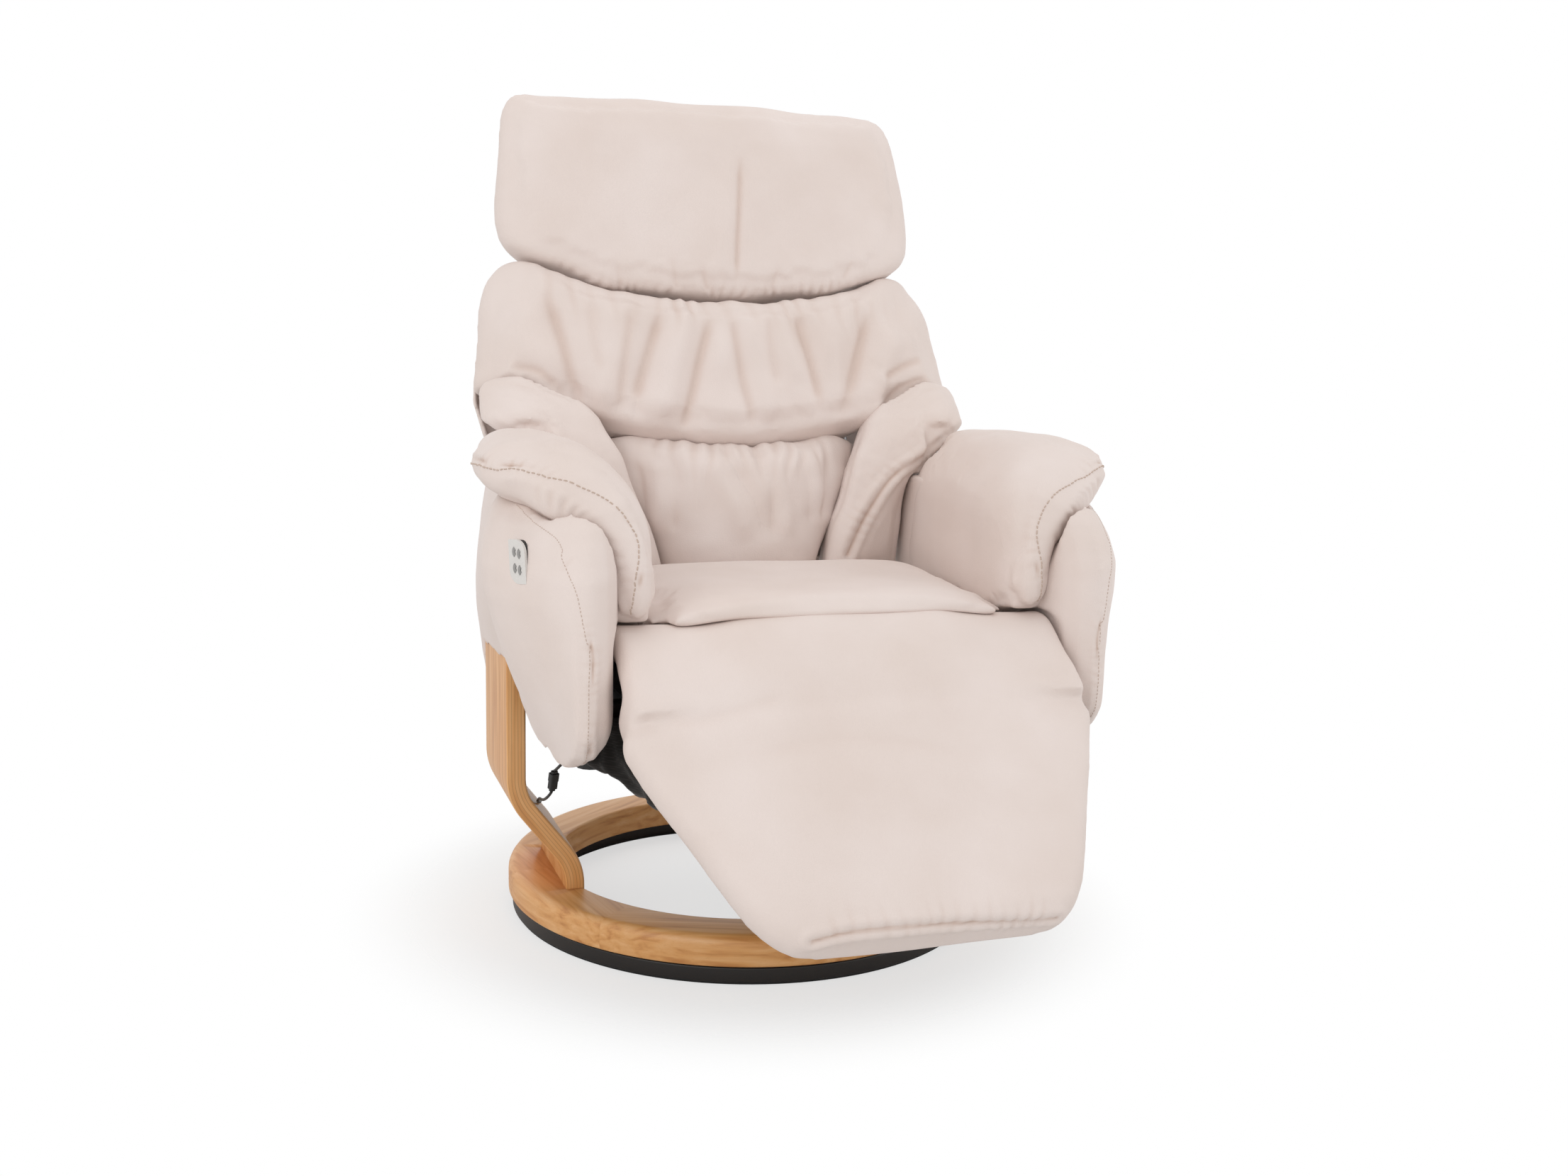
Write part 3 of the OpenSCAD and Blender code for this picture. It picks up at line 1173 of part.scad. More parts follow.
module lead_gland() {
    color(black) at_axis() translate([0, gland_y, gland_z]) rotate([0, -90, 0]) difference() {
        union() {
            translate([0, 0, tray_half_w - tray_wall])
                cylinder(r = gland_neck_r, h = tray_wall + 1, $fn = 24);
            translate([0, 0, tray_half_w]) cylinder(r1 = gland_r, r2 = gland_r - 1.5, h = gland_l,
                $fn = 24);
        }
        translate([0, 0, tray_half_w - tray_wall - 1])
            cylinder(r = lead_r + 0.1, h = gland_l + tray_wall + 3, $fn = 24);
    }
}

module at_connector() {
    v = connector_end - connector_top;
    translate(connector_top) rotate([0, acos(v[2] / norm(v)), atan2(v[1], v[0])]) children();
}
connector_l = norm(connector_end - connector_top);
module connector_half(z0, z1, step) {
    translate([0, 0, z0]) linear_extrude(z1 - z0)
        polygon(soften([for (c = [[-1, -1], [1, -1], [1, 1], [-1, 1]])
            [c[0] * (connector_t / 2 - step), c[1] * (connector_w / 2 - step)]], 2, 3));
}
module lead_socket() {
    color(black) at_axis() at_connector() difference() {
        union() {
            connector_half(3, connector_l / 2 - 0.1, 0);
            connector_half(0, 3, 1.5);
        }
        translate([0, 0, -1]) cylinder(r = lead_r + 0.1, h = 4, $fn = 24);
        translate([0, 0, connector_l / 2 - 4]) connector_half(0, 5, 2);
    }
}
module lead_plug() {
    color(black) at_axis() at_connector() difference() {
        union() {
            connector_half(connector_l / 2 + 0.1, connector_l - 3, 0.4);
            connector_half(connector_l - 3, connector_l, 1.8);
            connector_half(connector_l / 2 - 3.6, connector_l / 2 + 0.1, 2.3);
        }
        translate([0, 0, connector_l - 3]) cylinder(r = lead_r + 0.1, h = 4, $fn = 24);
    }
}

module tail_lead() { color(black) at_axis() tube_along(tail_points, lead_r, lead_sides); }
module supply_lead() { color(black) at_axis() tube_along(supply_points, lead_r, lead_sides); }
module plug_lead() { color(black) at_axis() tube_along(plug_points, lead_r, coil_sides); }
module supply_coil() { color(black) at_axis() tube_along(coil_points, lead_r, coil_sides); }

module mains_plug() {
    pin_gap = 19;
    color(black) at_axis() translate([supply_at[0], supply_at[1], 0]) {
        linear_extrude(supply_size[2]) polygon(soften([for (c = [[-1, -1], [1, -1], [1, 1], [-1, 1]])
            [c[0] * supply_size[0] / 2, c[1] * supply_size[1] / 2]], 8));
        for (x = [-pin_gap / 2, pin_gap / 2]) translate([x, supply_size[1] / 2 - 0.5, supply_size[2] / 2])
            rotate([-90, 0, 0]) cylinder(d = 4, h = 19, $fn = 24);
    }
}

floor_pad();
floor_ring();
lower_race();
ball_cage();
bearing_balls();
upper_race();
oak_ring();
leg_right();
leg_left();
frame_bolts();
side_plate_right();
side_plate_left();
seat_rails();
seat_webbing();
seat_cushion();
underbody_tray();
side_panel_right();
side_panel_left();
arm_box_right();
arm_box_left();
arm_pad_right();
arm_pad_left();
hinge_pins();
control_box();
back_motor();
foot_motor();
switch_box();
switch_plate();
lining();
lead_gland();
lead_socket();
lead_plug();
tail_lead();
supply_lead();
supply_coil();
plug_lead();
mains_plug();
back_rod();
foot_rod();
back_brackets();
back_frame();
back_webbing();
back_shell();
lumbar_cushion();
shoulder_cushion();
wing_right();
wing_left();
head_bracket();
head_pins();
headrest_cushion();
foot_arms();
foot_board();
knee_pad();
footrest_pad();
key_back_up();
key_back_down();
key_foot_up();
key_foot_down();
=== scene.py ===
"""Pale leather recliner on a turning oak ring.

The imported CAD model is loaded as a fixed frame. Each leather cushion, pad and arm is shaped from its
solid: remeshed, puffed as cloth, and then sewn with the seams, pleats and gathers of the real chair.
The oak ring, the bent legs, the lining and the leads are built here too. Lengths in tables are in
millimetres: the leather's in the part's frame, and those of the base, the lining and the leads about
the turning axis, which stands behind that frame's origin. Everything else is in metres.
"""

import json
import logging
import math
from dataclasses import dataclass, field
from enum import Enum
from typing import Sequence

import bpy
import numpy as np
from mathutils import Matrix, Vector
from mathutils.bvhtree import BVHTree


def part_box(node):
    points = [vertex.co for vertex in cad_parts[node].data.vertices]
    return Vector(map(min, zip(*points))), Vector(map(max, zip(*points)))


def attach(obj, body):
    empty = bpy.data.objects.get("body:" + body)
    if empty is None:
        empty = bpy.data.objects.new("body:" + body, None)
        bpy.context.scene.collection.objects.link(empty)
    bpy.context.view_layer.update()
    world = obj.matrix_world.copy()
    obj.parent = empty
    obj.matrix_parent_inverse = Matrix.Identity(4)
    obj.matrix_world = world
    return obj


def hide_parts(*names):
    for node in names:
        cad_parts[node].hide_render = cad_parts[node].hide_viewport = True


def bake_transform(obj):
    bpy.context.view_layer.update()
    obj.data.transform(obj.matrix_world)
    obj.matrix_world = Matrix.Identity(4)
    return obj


log = logging.getLogger("recliner")
MM = 0.001
Point = Sequence[float]
Faces = list[list[int]]
Node, Socket, Tree = bpy.types.Node, bpy.types.NodeSocket, bpy.types.NodeTree
Piece = bpy.types.Object


class Body(Enum):
    """The moving bodies that pieces ride on."""

    BASE = "base"
    TURNTABLE = "turntable"
    BACKREST = "backrest"
    HEADREST = "headrest"
    FOOTREST = "footrest"


class Slot(Enum):
    """The record's material slots."""

    LEATHER = "leather"
    OAK = "oak"
    BOARD = "board"
    BLACK_STEEL = "black_steel"
    BRIGHT_STEEL = "bright_steel"
    BLACK_PLASTIC = "black_plastic"
    SWITCH_PLASTIC = "switch_plastic"
    KEY_PLASTIC = "key_plastic"
    RUBBER = "rubber"
    LEAD_RUBBER = "lead_rubber"
    WEBBING = "webbing"
    LINING_CLOTH = "lining_cloth"


def axis_y() -> float:
    """Returns the turning axis's place along Y, in metres."""
    low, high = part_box("oak_ring")
    return (low[1] + high[1]) / 2


def placed(points: Sequence[Point]) -> np.ndarray:
    """Puts points drawn about the turning axis into the part's frame.

    Args:
        points: Points in millimetres about the turning axis.

    Returns:
        The points in metres, one row each.
    """
    out = np.array(points, float) * MM
    out[:, 1] += axis_y()
    return out


def spline(points: np.ndarray, steps: int) -> np.ndarray:
    """Draws a smooth line through points.

    Args:
        points: The points, one row each.
        steps: Stretches between each two points.

    Returns:
        The line's points, from the first to the last one.
    """
    p = np.vstack([2 * points[0] - points[1], points, 2 * points[-1] - points[-2]])
    out = []
    for i in range(1, len(p) - 2):
        for k in range(steps):
            t = k / steps
            line = 2 * p[i] + (p[i + 1] - p[i - 1]) * t
            square = (2 * p[i - 1] - 5 * p[i] + 4 * p[i + 1] - p[i + 2]) * t**2
            cube = (3 * p[i] - p[i - 1] - 3 * p[i + 1] + p[i + 2]) * t**3
            out.append(0.5 * (line + square + cube))
    return np.array(out + [points[-1]])


def smoothstep(x: np.ndarray) -> np.ndarray:
    """Returns x eased from 0 at 0 to 1 at 1."""
    x = np.clip(x, 0, 1)
    return x * x * (3 - 2 * x)


# Finishes
def linear(hexcode: str) -> tuple[float, float, float, float]:
    """Turns an sRGB hex colour into linear RGBA.

    Args:
        hexcode: Six hex digits.

    Returns:
        Red, green, blue and alpha in linear light.
    """
    parts = [int(hexcode[i : i + 2], 16) / 255 for i in (0, 2, 4)]
    low = [c / 12.92 if c <= 0.04045 else ((c + 0.055) / 1.055) ** 2.4 for c in parts]
    return (*low, 1.0)


def connect(tree: Tree, node: Node, inputs: dict) -> None:
    """Sets a node's inputs.

    Args:
        tree: The node tree.
        node: The node.
        inputs: Input name or number, and for each a value, a socket, or a node for its first output.
    """
    for key, value in inputs.items():
        if isinstance(value, Node):
            value = value.outputs[0]
        if isinstance(value, Socket):
            tree.links.new(value, node.inputs[key])
        else:
            node.inputs[key].default_value = value


def add(
    tree: Tree, kind: str, inputs: dict | None = None, stops: Sequence[tuple[float, str]] = (),
    **settings: object,
) -> Node:
    """Adds a shader node with its settings and inputs.

    Args:
        tree: The node tree.
        kind: The node's type, without ShaderNode in front.
        inputs: Its inputs, as connect takes them.
        stops: Places from 0 to 1 and their hex colours, where it has a colour ramp.
        **settings: Properties of the node.

    Returns:
        The new node.
    """
    node = tree.nodes.new("ShaderNode" + kind)
    for key, value in settings.items():
        setattr(node, key, value)
    if stops:
        marks = node.color_ramp.elements
        while len(marks) < len(stops):
            marks.new(0.5)
        for mark, (place, colour) in zip(marks, stops):
            mark.position = place
            mark.color = linear(colour)
    connect(tree, node, inputs or {})
    return node


@dataclass(frozen=True)
class Finish:
    """A surface: its name, and what the principled shader needs for it."""

    name: str
    roughness: float = 0.5
    metallic: float = 0.0
    specular: float = 0.5

    def paint(self, tree: Tree, shader: Node) -> None:
        """Links this finish's colour and relief to the shader."""

    def make(self) -> bpy.types.Material:
        """Makes the material once.

        Returns:
            The material, new or as made before.
        """
        known = bpy.data.materials.get(self.name)
        if known:
            return known
        material = bpy.data.materials.new(self.name)
        material.use_nodes = True
        tree = material.node_tree
        shader = tree.nodes["Principled BSDF"]
        connect(tree, shader, {"Roughness": self.roughness, "Metallic": self.metallic})
        connect(tree, shader, {"Specular IOR Level": self.specular})
        self.paint(tree, shader)
        return material


@dataclass(frozen=True)
class FullGrainLeather(Finish):
    """Pigmented full-grain leather: a fine pebble with soft sheen, and painted shade in its folds."""

    pale: str = "E7DBD6"
    warm: str = "E0D2CB"
    # Painted shade: the darker colour that creases, seams and pucker troughs are mixed towards
    painted_fold_shade: str = "CBB2A4"
    # Real pebbles are about 1 mm; drawn at 2.4 mm so that they show
    pebble_mm: float = 2.4
    mottle_mm: float = 140.0

    def paint(self, tree: Tree, shader: Node) -> None:
        """Draws the pebble, the mottle and the painted shade in folds.

        Args:
            tree: The material's node tree.
            shader: Its principled shader.
        """
        place = add(tree, "TexCoord").outputs["Object"]
        mottle = add(tree, "TexNoise", {"Vector": place, "Scale": 1 / (self.mottle_mm * MM), "Detail": 3.0})
        tone = add(tree, "ValToRGB", {0: mottle.outputs["Fac"]}, [(0.3, self.warm), (0.7, self.pale)])
        # Painted shade: this mask darkens creases, seams and pucker troughs towards the fold colour
        painted_shade_mask = add(tree, "Attribute", attribute_name="painted_fold_shade").outputs["Fac"]
        colour = add(tree, "Mix", {0: painted_shade_mask, 6: tone, 7: linear(self.painted_fold_shade)}, data_type="RGBA")
        pebble = add(
            tree, "TexVoronoi", {"Vector": place, "Scale": 1 / (self.pebble_mm * MM)},
            feature="DISTANCE_TO_EDGE",
        )
        crazed = add(
            tree, "Math", {0: pebble.outputs["Distance"], 1: 4.0}, operation="MULTIPLY", use_clamp=True,
        )
        relief = add(tree, "Bump", {"Height": crazed, "Strength": 0.22, "Distance": 0.0003})
        creased = add(
            tree, "TexNoise", {"Vector": place, "Scale": 1 / (11 * MM), "Detail": 4.0, "Distortion": 0.6}
        )
        both = add(
            tree, "Bump",
            {"Height": creased.outputs["Fac"], "Strength": 0.12, "Distance": 0.0009, "Normal": relief},
        )
        gloss = add(
            tree, "MapRange",
            {
                "Value": mottle.outputs["Fac"], "To Min": self.roughness - 0.05,
                "To Max": self.roughness + 0.07,
            },
        )
        connect(tree, shader, {"Base Color": colour.outputs[2], "Normal": both, "Roughness": gloss})


@dataclass(frozen=True)
class LacqueredOak(Finish):
    """Oak under a satin lacquer: straight grain with pores, and glue lines where it is laminated."""

    pale: str = "E8B57C"
    middle: str = "DDA263"
    dark: str = "BE7E43"
    ring_mm: float = 9.0
    pore_mm: float = 1.1
    layer_mm: float = 0.0

    def paint(self, tree: Tree, shader: Node) -> None:
        """Draws growth rings, pores and glue lines along the fibres.

        Args:
            tree: The material's node tree.
            shader: Its principled shader.
        """
        # The attribute holds metres along the fibres, across them, and through the layers
        place = add(tree, "Attribute", attribute_name="fibre").outputs["Vector"]
        split = add(tree, "SeparateXYZ", {0: place})
        stretched = add(tree, "VectorMath", {0: place, 1: (0.055, 1.0, 1.0)}, operation="MULTIPLY")
        fine = add(tree, "VectorMath", {0: place, 1: (0.03, 1.0, 1.0)}, operation="MULTIPLY")
        rings = add(
            tree, "TexNoise",
            {"Vector": stretched, "Scale": 1 / (self.ring_mm * MM), "Detail": 5.0, "Distortion": 0.4},
        )
        pores = add(
            tree, "TexNoise",
            {"Vector": fine, "Scale": 1 / (self.pore_mm * MM), "Detail": 3.0, "Roughness": 0.7},
        )
        figure = add(
            tree, "ValToRGB", {0: rings.outputs["Fac"]},
            [(0.28, self.dark), (0.48, self.middle), (0.68, self.pale)],
        )
        pits = add(
            tree, "MapRange",
            {"Value": pores.outputs["Fac"], "From Min": 0.56, "From Max": 0.74, "To Max": 0.45},
        )
        colour = add(tree, "Mix", {0: pits, 6: figure, 7: linear(self.dark)}, data_type="RGBA")
        result = colour.outputs[2]
        if self.layer_mm:
            turns = add(
                tree, "Math", {0: split.outputs["Z"], 1: 1 / (self.layer_mm * MM)}, operation="MULTIPLY",
            )
            part = add(tree, "Math", {0: turns}, operation="FRACT")
            off = add(tree, "Math", {0: part, 1: 0.5}, operation="SUBTRACT")
            far = add(tree, "Math", {0: off}, operation="ABSOLUTE")
            glue = add(
                tree, "MapRange", {"Value": far, "From Min": 0.38, "From Max": 0.5, "To Max": 0.8}
            )
            lined = add(tree, "Mix", {0: glue, 6: result, 7: linear("A06C3C")}, data_type="RGBA")
            result = lined.outputs[2]
        relief = add(tree, "Bump", {"Height": pores.outputs["Fac"], "Strength": 0.15, "Distance": 0.0004})
        connect(tree, shader, {"Base Color": result, "Normal": relief})
        connect(tree, shader, {"Coat Weight": 0.12, "Coat Roughness": 0.25})


@dataclass(frozen=True)
class Grained(Finish):
    """A moulded, coated or plated surface with a fine even texture: two close tones and a little relief."""

    first: str = "202020"
    second: str = "2A2A2A"
    grain_mm: float = 1.2
    relief: float = 0.2
    stretch: tuple[float, float, float] = (1.0, 1.0, 1.0)

    def paint(self, tree: Tree, shader: Node) -> None:
        """Draws the two tones and the relief.

        Args:
            tree: The material's node tree.
            shader: Its principled shader.
        """
        place = add(tree, "TexCoord").outputs["Object"]
        scaled = add(tree, "VectorMath", {0: place, 1: self.stretch}, operation="MULTIPLY")
        speck = add(
            tree, "TexNoise", {"Vector": scaled, "Scale": 1 / (self.grain_mm * MM), "Detail": 4.0}
        )
        colour = add(tree, "ValToRGB", {0: speck.outputs["Fac"]}, [(0.35, self.first), (0.65, self.second)])
        bump = add(
            tree, "Bump", {"Height": speck.outputs["Fac"], "Strength": self.relief, "Distance": 0.0002}
        )
        connect(tree, shader, {"Base Color": colour, "Normal": bump})


@dataclass(frozen=True)
class Woven(Finish):
    """A plain weave: two sets of threads over and under, matt, with a faint fuzz."""

    first: str = "15120F"
    second: str = "262220"
    thread_mm: float = 1.6

    def paint(self, tree: Tree, shader: Node) -> None:
        """Draws the threads and their relief.

        Args:
            tree: The material's node tree.
            shader: Its principled shader.
        """
        place = add(tree, "TexCoord").outputs["Object"]
        waves = [
            add(
                tree, "TexWave",
                {"Vector": place, "Scale": 1 / (self.thread_mm * MM) / (2 * math.pi), "Distortion": 0.4},
                bands_direction=axis,
            ).outputs["Fac"]
            for axis in ("DIAGONAL", "Z")
        ]
        over = add(tree, "Math", {0: waves[0], 1: waves[1]}, operation="MULTIPLY")
        colour = add(tree, "ValToRGB", {0: over}, [(0.1, self.first), (0.8, self.second)])
        bump = add(tree, "Bump", {"Height": over, "Strength": 0.4, "Distance": 0.0004})
        connect(tree, shader, {"Base Color": colour, "Normal": bump, "Sheen Weight": 0.15})


LEATHER = FullGrainLeather("full_grain_leather", roughness=0.52, specular=0.35)
THREAD = Grained(
    "bonded_polyester_thread", roughness=0.6, specular=0.3, first="CDBBAE", second="BFAA9C", grain_mm=0.8
)
OAK_RING = LacqueredOak("lacquered_oak_ring", roughness=0.42)
OAK_LEG = LacqueredOak("lacquered_oak_laminated", roughness=0.42, layer_mm=4.0, ring_mm=11.0)
LINING = Woven("black_polyester_lining", roughness=0.85, specular=0.2)
FINISHES: dict[Slot, Finish] = {
    Slot.LEATHER: LEATHER,
    Slot.OAK: OAK_RING,
    Slot.BOARD: Grained(
        "birch_plywood", roughness=0.7, first="BFA176", second="CDB38A", grain_mm=6.0, stretch=(0.08, 1, 1)
    ),
    Slot.BLACK_STEEL: Grained(
        "powder_coated_steel", roughness=0.42, first="171413", second="1E1A19", grain_mm=1.0
    ),
    Slot.BRIGHT_STEEL: Grained(
        "zinc_plated_steel", roughness=0.35, metallic=1.0, first="9A9CA0", second="AEB0B2", grain_mm=8.0
    ),
    Slot.BLACK_PLASTIC: Grained(
        "moulded_black_nylon", roughness=0.5, first="141414", second="1B1B1B", grain_mm=0.9
    ),
    Slot.SWITCH_PLASTIC: Grained(
        "moulded_grey_abs", roughness=0.38, first="D6D3CF", second="DBD8D5", grain_mm=1.5, relief=0.05
    ),
    Slot.KEY_PLASTIC: Grained(
        "moulded_key_abs", roughness=0.4, first="8E8C8A", second="989694", grain_mm=1.0, relief=0.05
    ),
    Slot.RUBBER: Grained("moulded_rubber", roughness=0.75, first="0E0E0E", second="151515", grain_mm=1.5),
    Slot.LEAD_RUBBER: Grained(
        "extruded_pvc_jacket", roughness=0.5, first="0C0C0C", second="121212", grain_mm=2.0, relief=0.1
    ),
    Slot.WEBBING: Woven("elastic_webbing", roughness=0.8, first="111111", second="2B2B2B", thread_mm=2.0),
    Slot.LINING_CLOTH: LINING,
}


# Making pieces
def fetch(rows: bpy.types.bpy_prop_collection, key: str, width: int = 3, kind: type = float) -> np.ndarray:
    """Reads a property of every element of a mesh.

    Args:
        rows: The elements, such as a mesh's vertices.
        key: The property's name.
        width: How many numbers it has.
        kind: The numbers' type.

    Returns:
        An array with one row for each.
    """
    out = np.empty(len(rows) * width, kind)
    rows.foreach_get(key, out)
    return out.reshape(-1, width)


def linked(name: str, data: bpy.types.ID) -> Piece:
    """Makes an object and links it to the scene.

    Args:
        name: Its name.
        data: Its mesh, curve, camera or lamp.

    Returns:
        The new object.
    """
    piece = bpy.data.objects.new(name, data)
    bpy.context.scene.collection.objects.link(piece)
    return piece


def solid_points(node: str) -> np.ndarray:
    """Returns the points of a CAD node's mesh, in metres.

    Args:
        node: The node's name.
    """
    return fetch(frame["nodes"][node].data.vertices, "co")


def finished(piece: Piece, body: Body, slot: Slot, finish: Finish | None = None) -> Piece:
    """Gives a piece its finish and body.

    Args:
        piece: The piece, in place.
        body: What it moves with.
        slot: The record's slot.
        finish: Its finish, where it isn't the slot's own.

    Returns:
        The piece.
    """
    piece.data.materials.clear()
    piece.data.materials.append((finish or FINISHES[slot]).make())
    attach(piece, body.value)
    log.info("%s rides on %s", piece.name, body.value)
    return piece


def solid(
    name: str, points: np.ndarray, faces: Sequence[Sequence[int]],
    fields: dict[str, np.ndarray] | None = None, smooth: bool = True,
) -> Piece:
    """Makes a mesh object.

    Args:
        name: The piece's name.
        points: Its points, in metres.
        faces: Its faces.
        fields: Named values at the points, plain numbers or vectors.
        smooth: Whether faces shade into each other.

    Returns:
        The object, linked to the scene.
    """
    mesh = bpy.data.meshes.new(name)
    mesh.from_pydata([tuple(p) for p in points], [], [tuple(f) for f in faces])
    mesh.polygons.foreach_set("use_smooth", [smooth] * len(mesh.polygons))
    for key, values in (fields or {}).items():
        vector = values.ndim == 2
        made = mesh.attributes.new(key, "FLOAT_VECTOR" if vector else "FLOAT", "POINT")
        made.data.foreach_set("vector" if vector else "value", values.astype(np.float32).ravel())
    mesh.update()
    return linked(name, mesh)


def settle(piece: Piece) -> None:
    """Makes what a piece's modifiers show its own mesh.

    Args:
        piece: The piece.
    """
    graph = bpy.context.evaluated_depsgraph_get()
    made = bpy.data.meshes.new_from_object(piece.evaluated_get(graph))
    piece.modifiers.clear()
    old, piece.data = piece.data, made
    bpy.data.meshes.remove(old)
    made.name = piece.name


def skin(rings: int, sides: int, flip: bool = False, capped: bool = True) -> Faces:
    """Lays faces over rings of points, one ring after the other.

    Args:
        rings: How many rings.
        sides: Points in each.
        flip: Whether the faces look the other way.
        capped: Whether the first and the last ring are closed.

    Returns:
        The faces.
    """
    faces = [
        [i * sides + k, i * sides + (k + 1) % sides, (i + 1) * sides + (k + 1) % sides, (i + 1) * sides + k]
        for i in range(rings - 1)
        for k in range(sides)
    ]
    if capped:
        faces += [list(range(sides))[::-1], [(rings - 1) * sides + k for k in range(sides)]]
    return [face[::-1] for face in faces] if flip else faces


def tube(
    points: np.ndarray, radius: np.ndarray | float, sides: int, offset: int = 0
) -> tuple[np.ndarray, Faces]:
    """Draws a closed round tube along a line.

    Args:
        points: The line.
        radius: Its radius, or one for each point.
        sides: Points round it.
        offset: Number of the first point, where tubes are joined in one mesh.

    Returns:
        The points and the faces.
    """
    n = len(points)
    radius = np.broadcast_to(radius, n)
    along = np.gradient(points, axis=0)
    along /= np.linalg.norm(along, axis=1)[:, None] + 1e-12
    side = np.cross(along[0], (0, 0, 1) if abs(along[0][2]) < 0.9 else (1, 0, 0))
    rings = []
    for p, t, r in zip(points, along, radius):
        side = side - t * (side @ t)
        side /= np.linalg.norm(side) + 1e-12
        up = np.cross(t, side)
        a = np.arange(sides) * 2 * math.pi / sides
        rings.append(p + r * (np.cos(a)[:, None] * side + np.sin(a)[:, None] * up))
    faces = [[offset + v for v in face] for face in skin(n, sides)]
    return np.vstack(rings), faces


@dataclass
class Fold:
    """A crease, pleat or sewn valley along a line on the leather.

    Attributes:
        line: Where it runs, in millimetres in the part's frame.
        depth: How deep it goes, in mm.
        width: How wide its floor is, in mm.
        tuck: How much more one lip stands than the other, as a share.
        lips: How high its lips stand, as a share of the depth.
        whole: Whether it keeps its depth to both ends.
        shade: How much painted shade darkens its floor, from 0 to 1.
    """

    line: Sequence[Point]
    depth: float
    width: float
    tuck: float = 0.0
    lips: float = 0.5
    whole: bool = False
    shade: float = 0.5


@dataclass
class Gather:
    """Small puckers square to a seam: their pitch, height and reach from the line, in millimetres."""

    line: Sequence[Point]
    pitch: float
    height: float
    reach: float
    seed: int = 1


@dataclass
class Pull:
    """A move of the skin near a line, as a hand would push it; reach and move are in millimetres."""

    line: Sequence[Point]
    reach: float
    move: Point


@dataclass
class Leather:
    """The recipe of one leather piece over its solids.

    Attributes:
        name: The piece's name.
        nodes: The CAD nodes that it stands for.
        body: What it moves with.
        voxel: Size of the remesh, in mm.
        ease: Rounds of smoothing.
        puff: Cloth pressure, or 0 where no cloth is simulated.
        cap: The furthest that the cloth may swell out, in mm.
        sink: The furthest that it may draw in, in mm.
        slack: How far the form is drawn in before the cloth swells it, in mm.
        grow: How much fuller the skin is than the solid, in mm.
        fill: How full the padding is; not used.
        fine: Whether the mesh is subdivided once more.
        undulation: Height of the soft unevenness, in mm, and its pitch.
        folds: Creases and pleats.
        gathers: Puckers along seams.
        pulls: Listed moves of the skin, before the cloth.
        opening: A node that sits in the leather, and the plate over it, where there is one.
        filler: Points in metres and faces of padding that the solids leave out, or nothing.
    """

    name: str
    nodes: tuple[str, ...]
    body: Body
    voxel: float = 5.0
    ease: int = 24
    puff: float = 0.0
    cap: float = 8.0
    sink: float = 0.8
    slack: float = 3.0
    grow: float = 0.0
    fill: float = 0.8
    fine: bool = True
    undulation: tuple[float, float] = (1.2, 90.0)
    folds: list[Fold] = field(default_factory=list)
    gathers: list[Gather] = field(default_factory=list)
    pulls: list[Pull] = field(default_factory=list)
    opening: tuple[str, ...] = ()
    filler: tuple[np.ndarray, Faces] | None = None


# How the leather behaves as cloth, and how many frames it is given
CLOTH = {
    "quality": 4, "mass": 0.3, "use_pressure": True, "tension_stiffness": 12, "compression_stiffness": 10,
    "shear_stiffness": 6, "bending_stiffness": 0.6,
}
CLOTH_FRAMES = 20


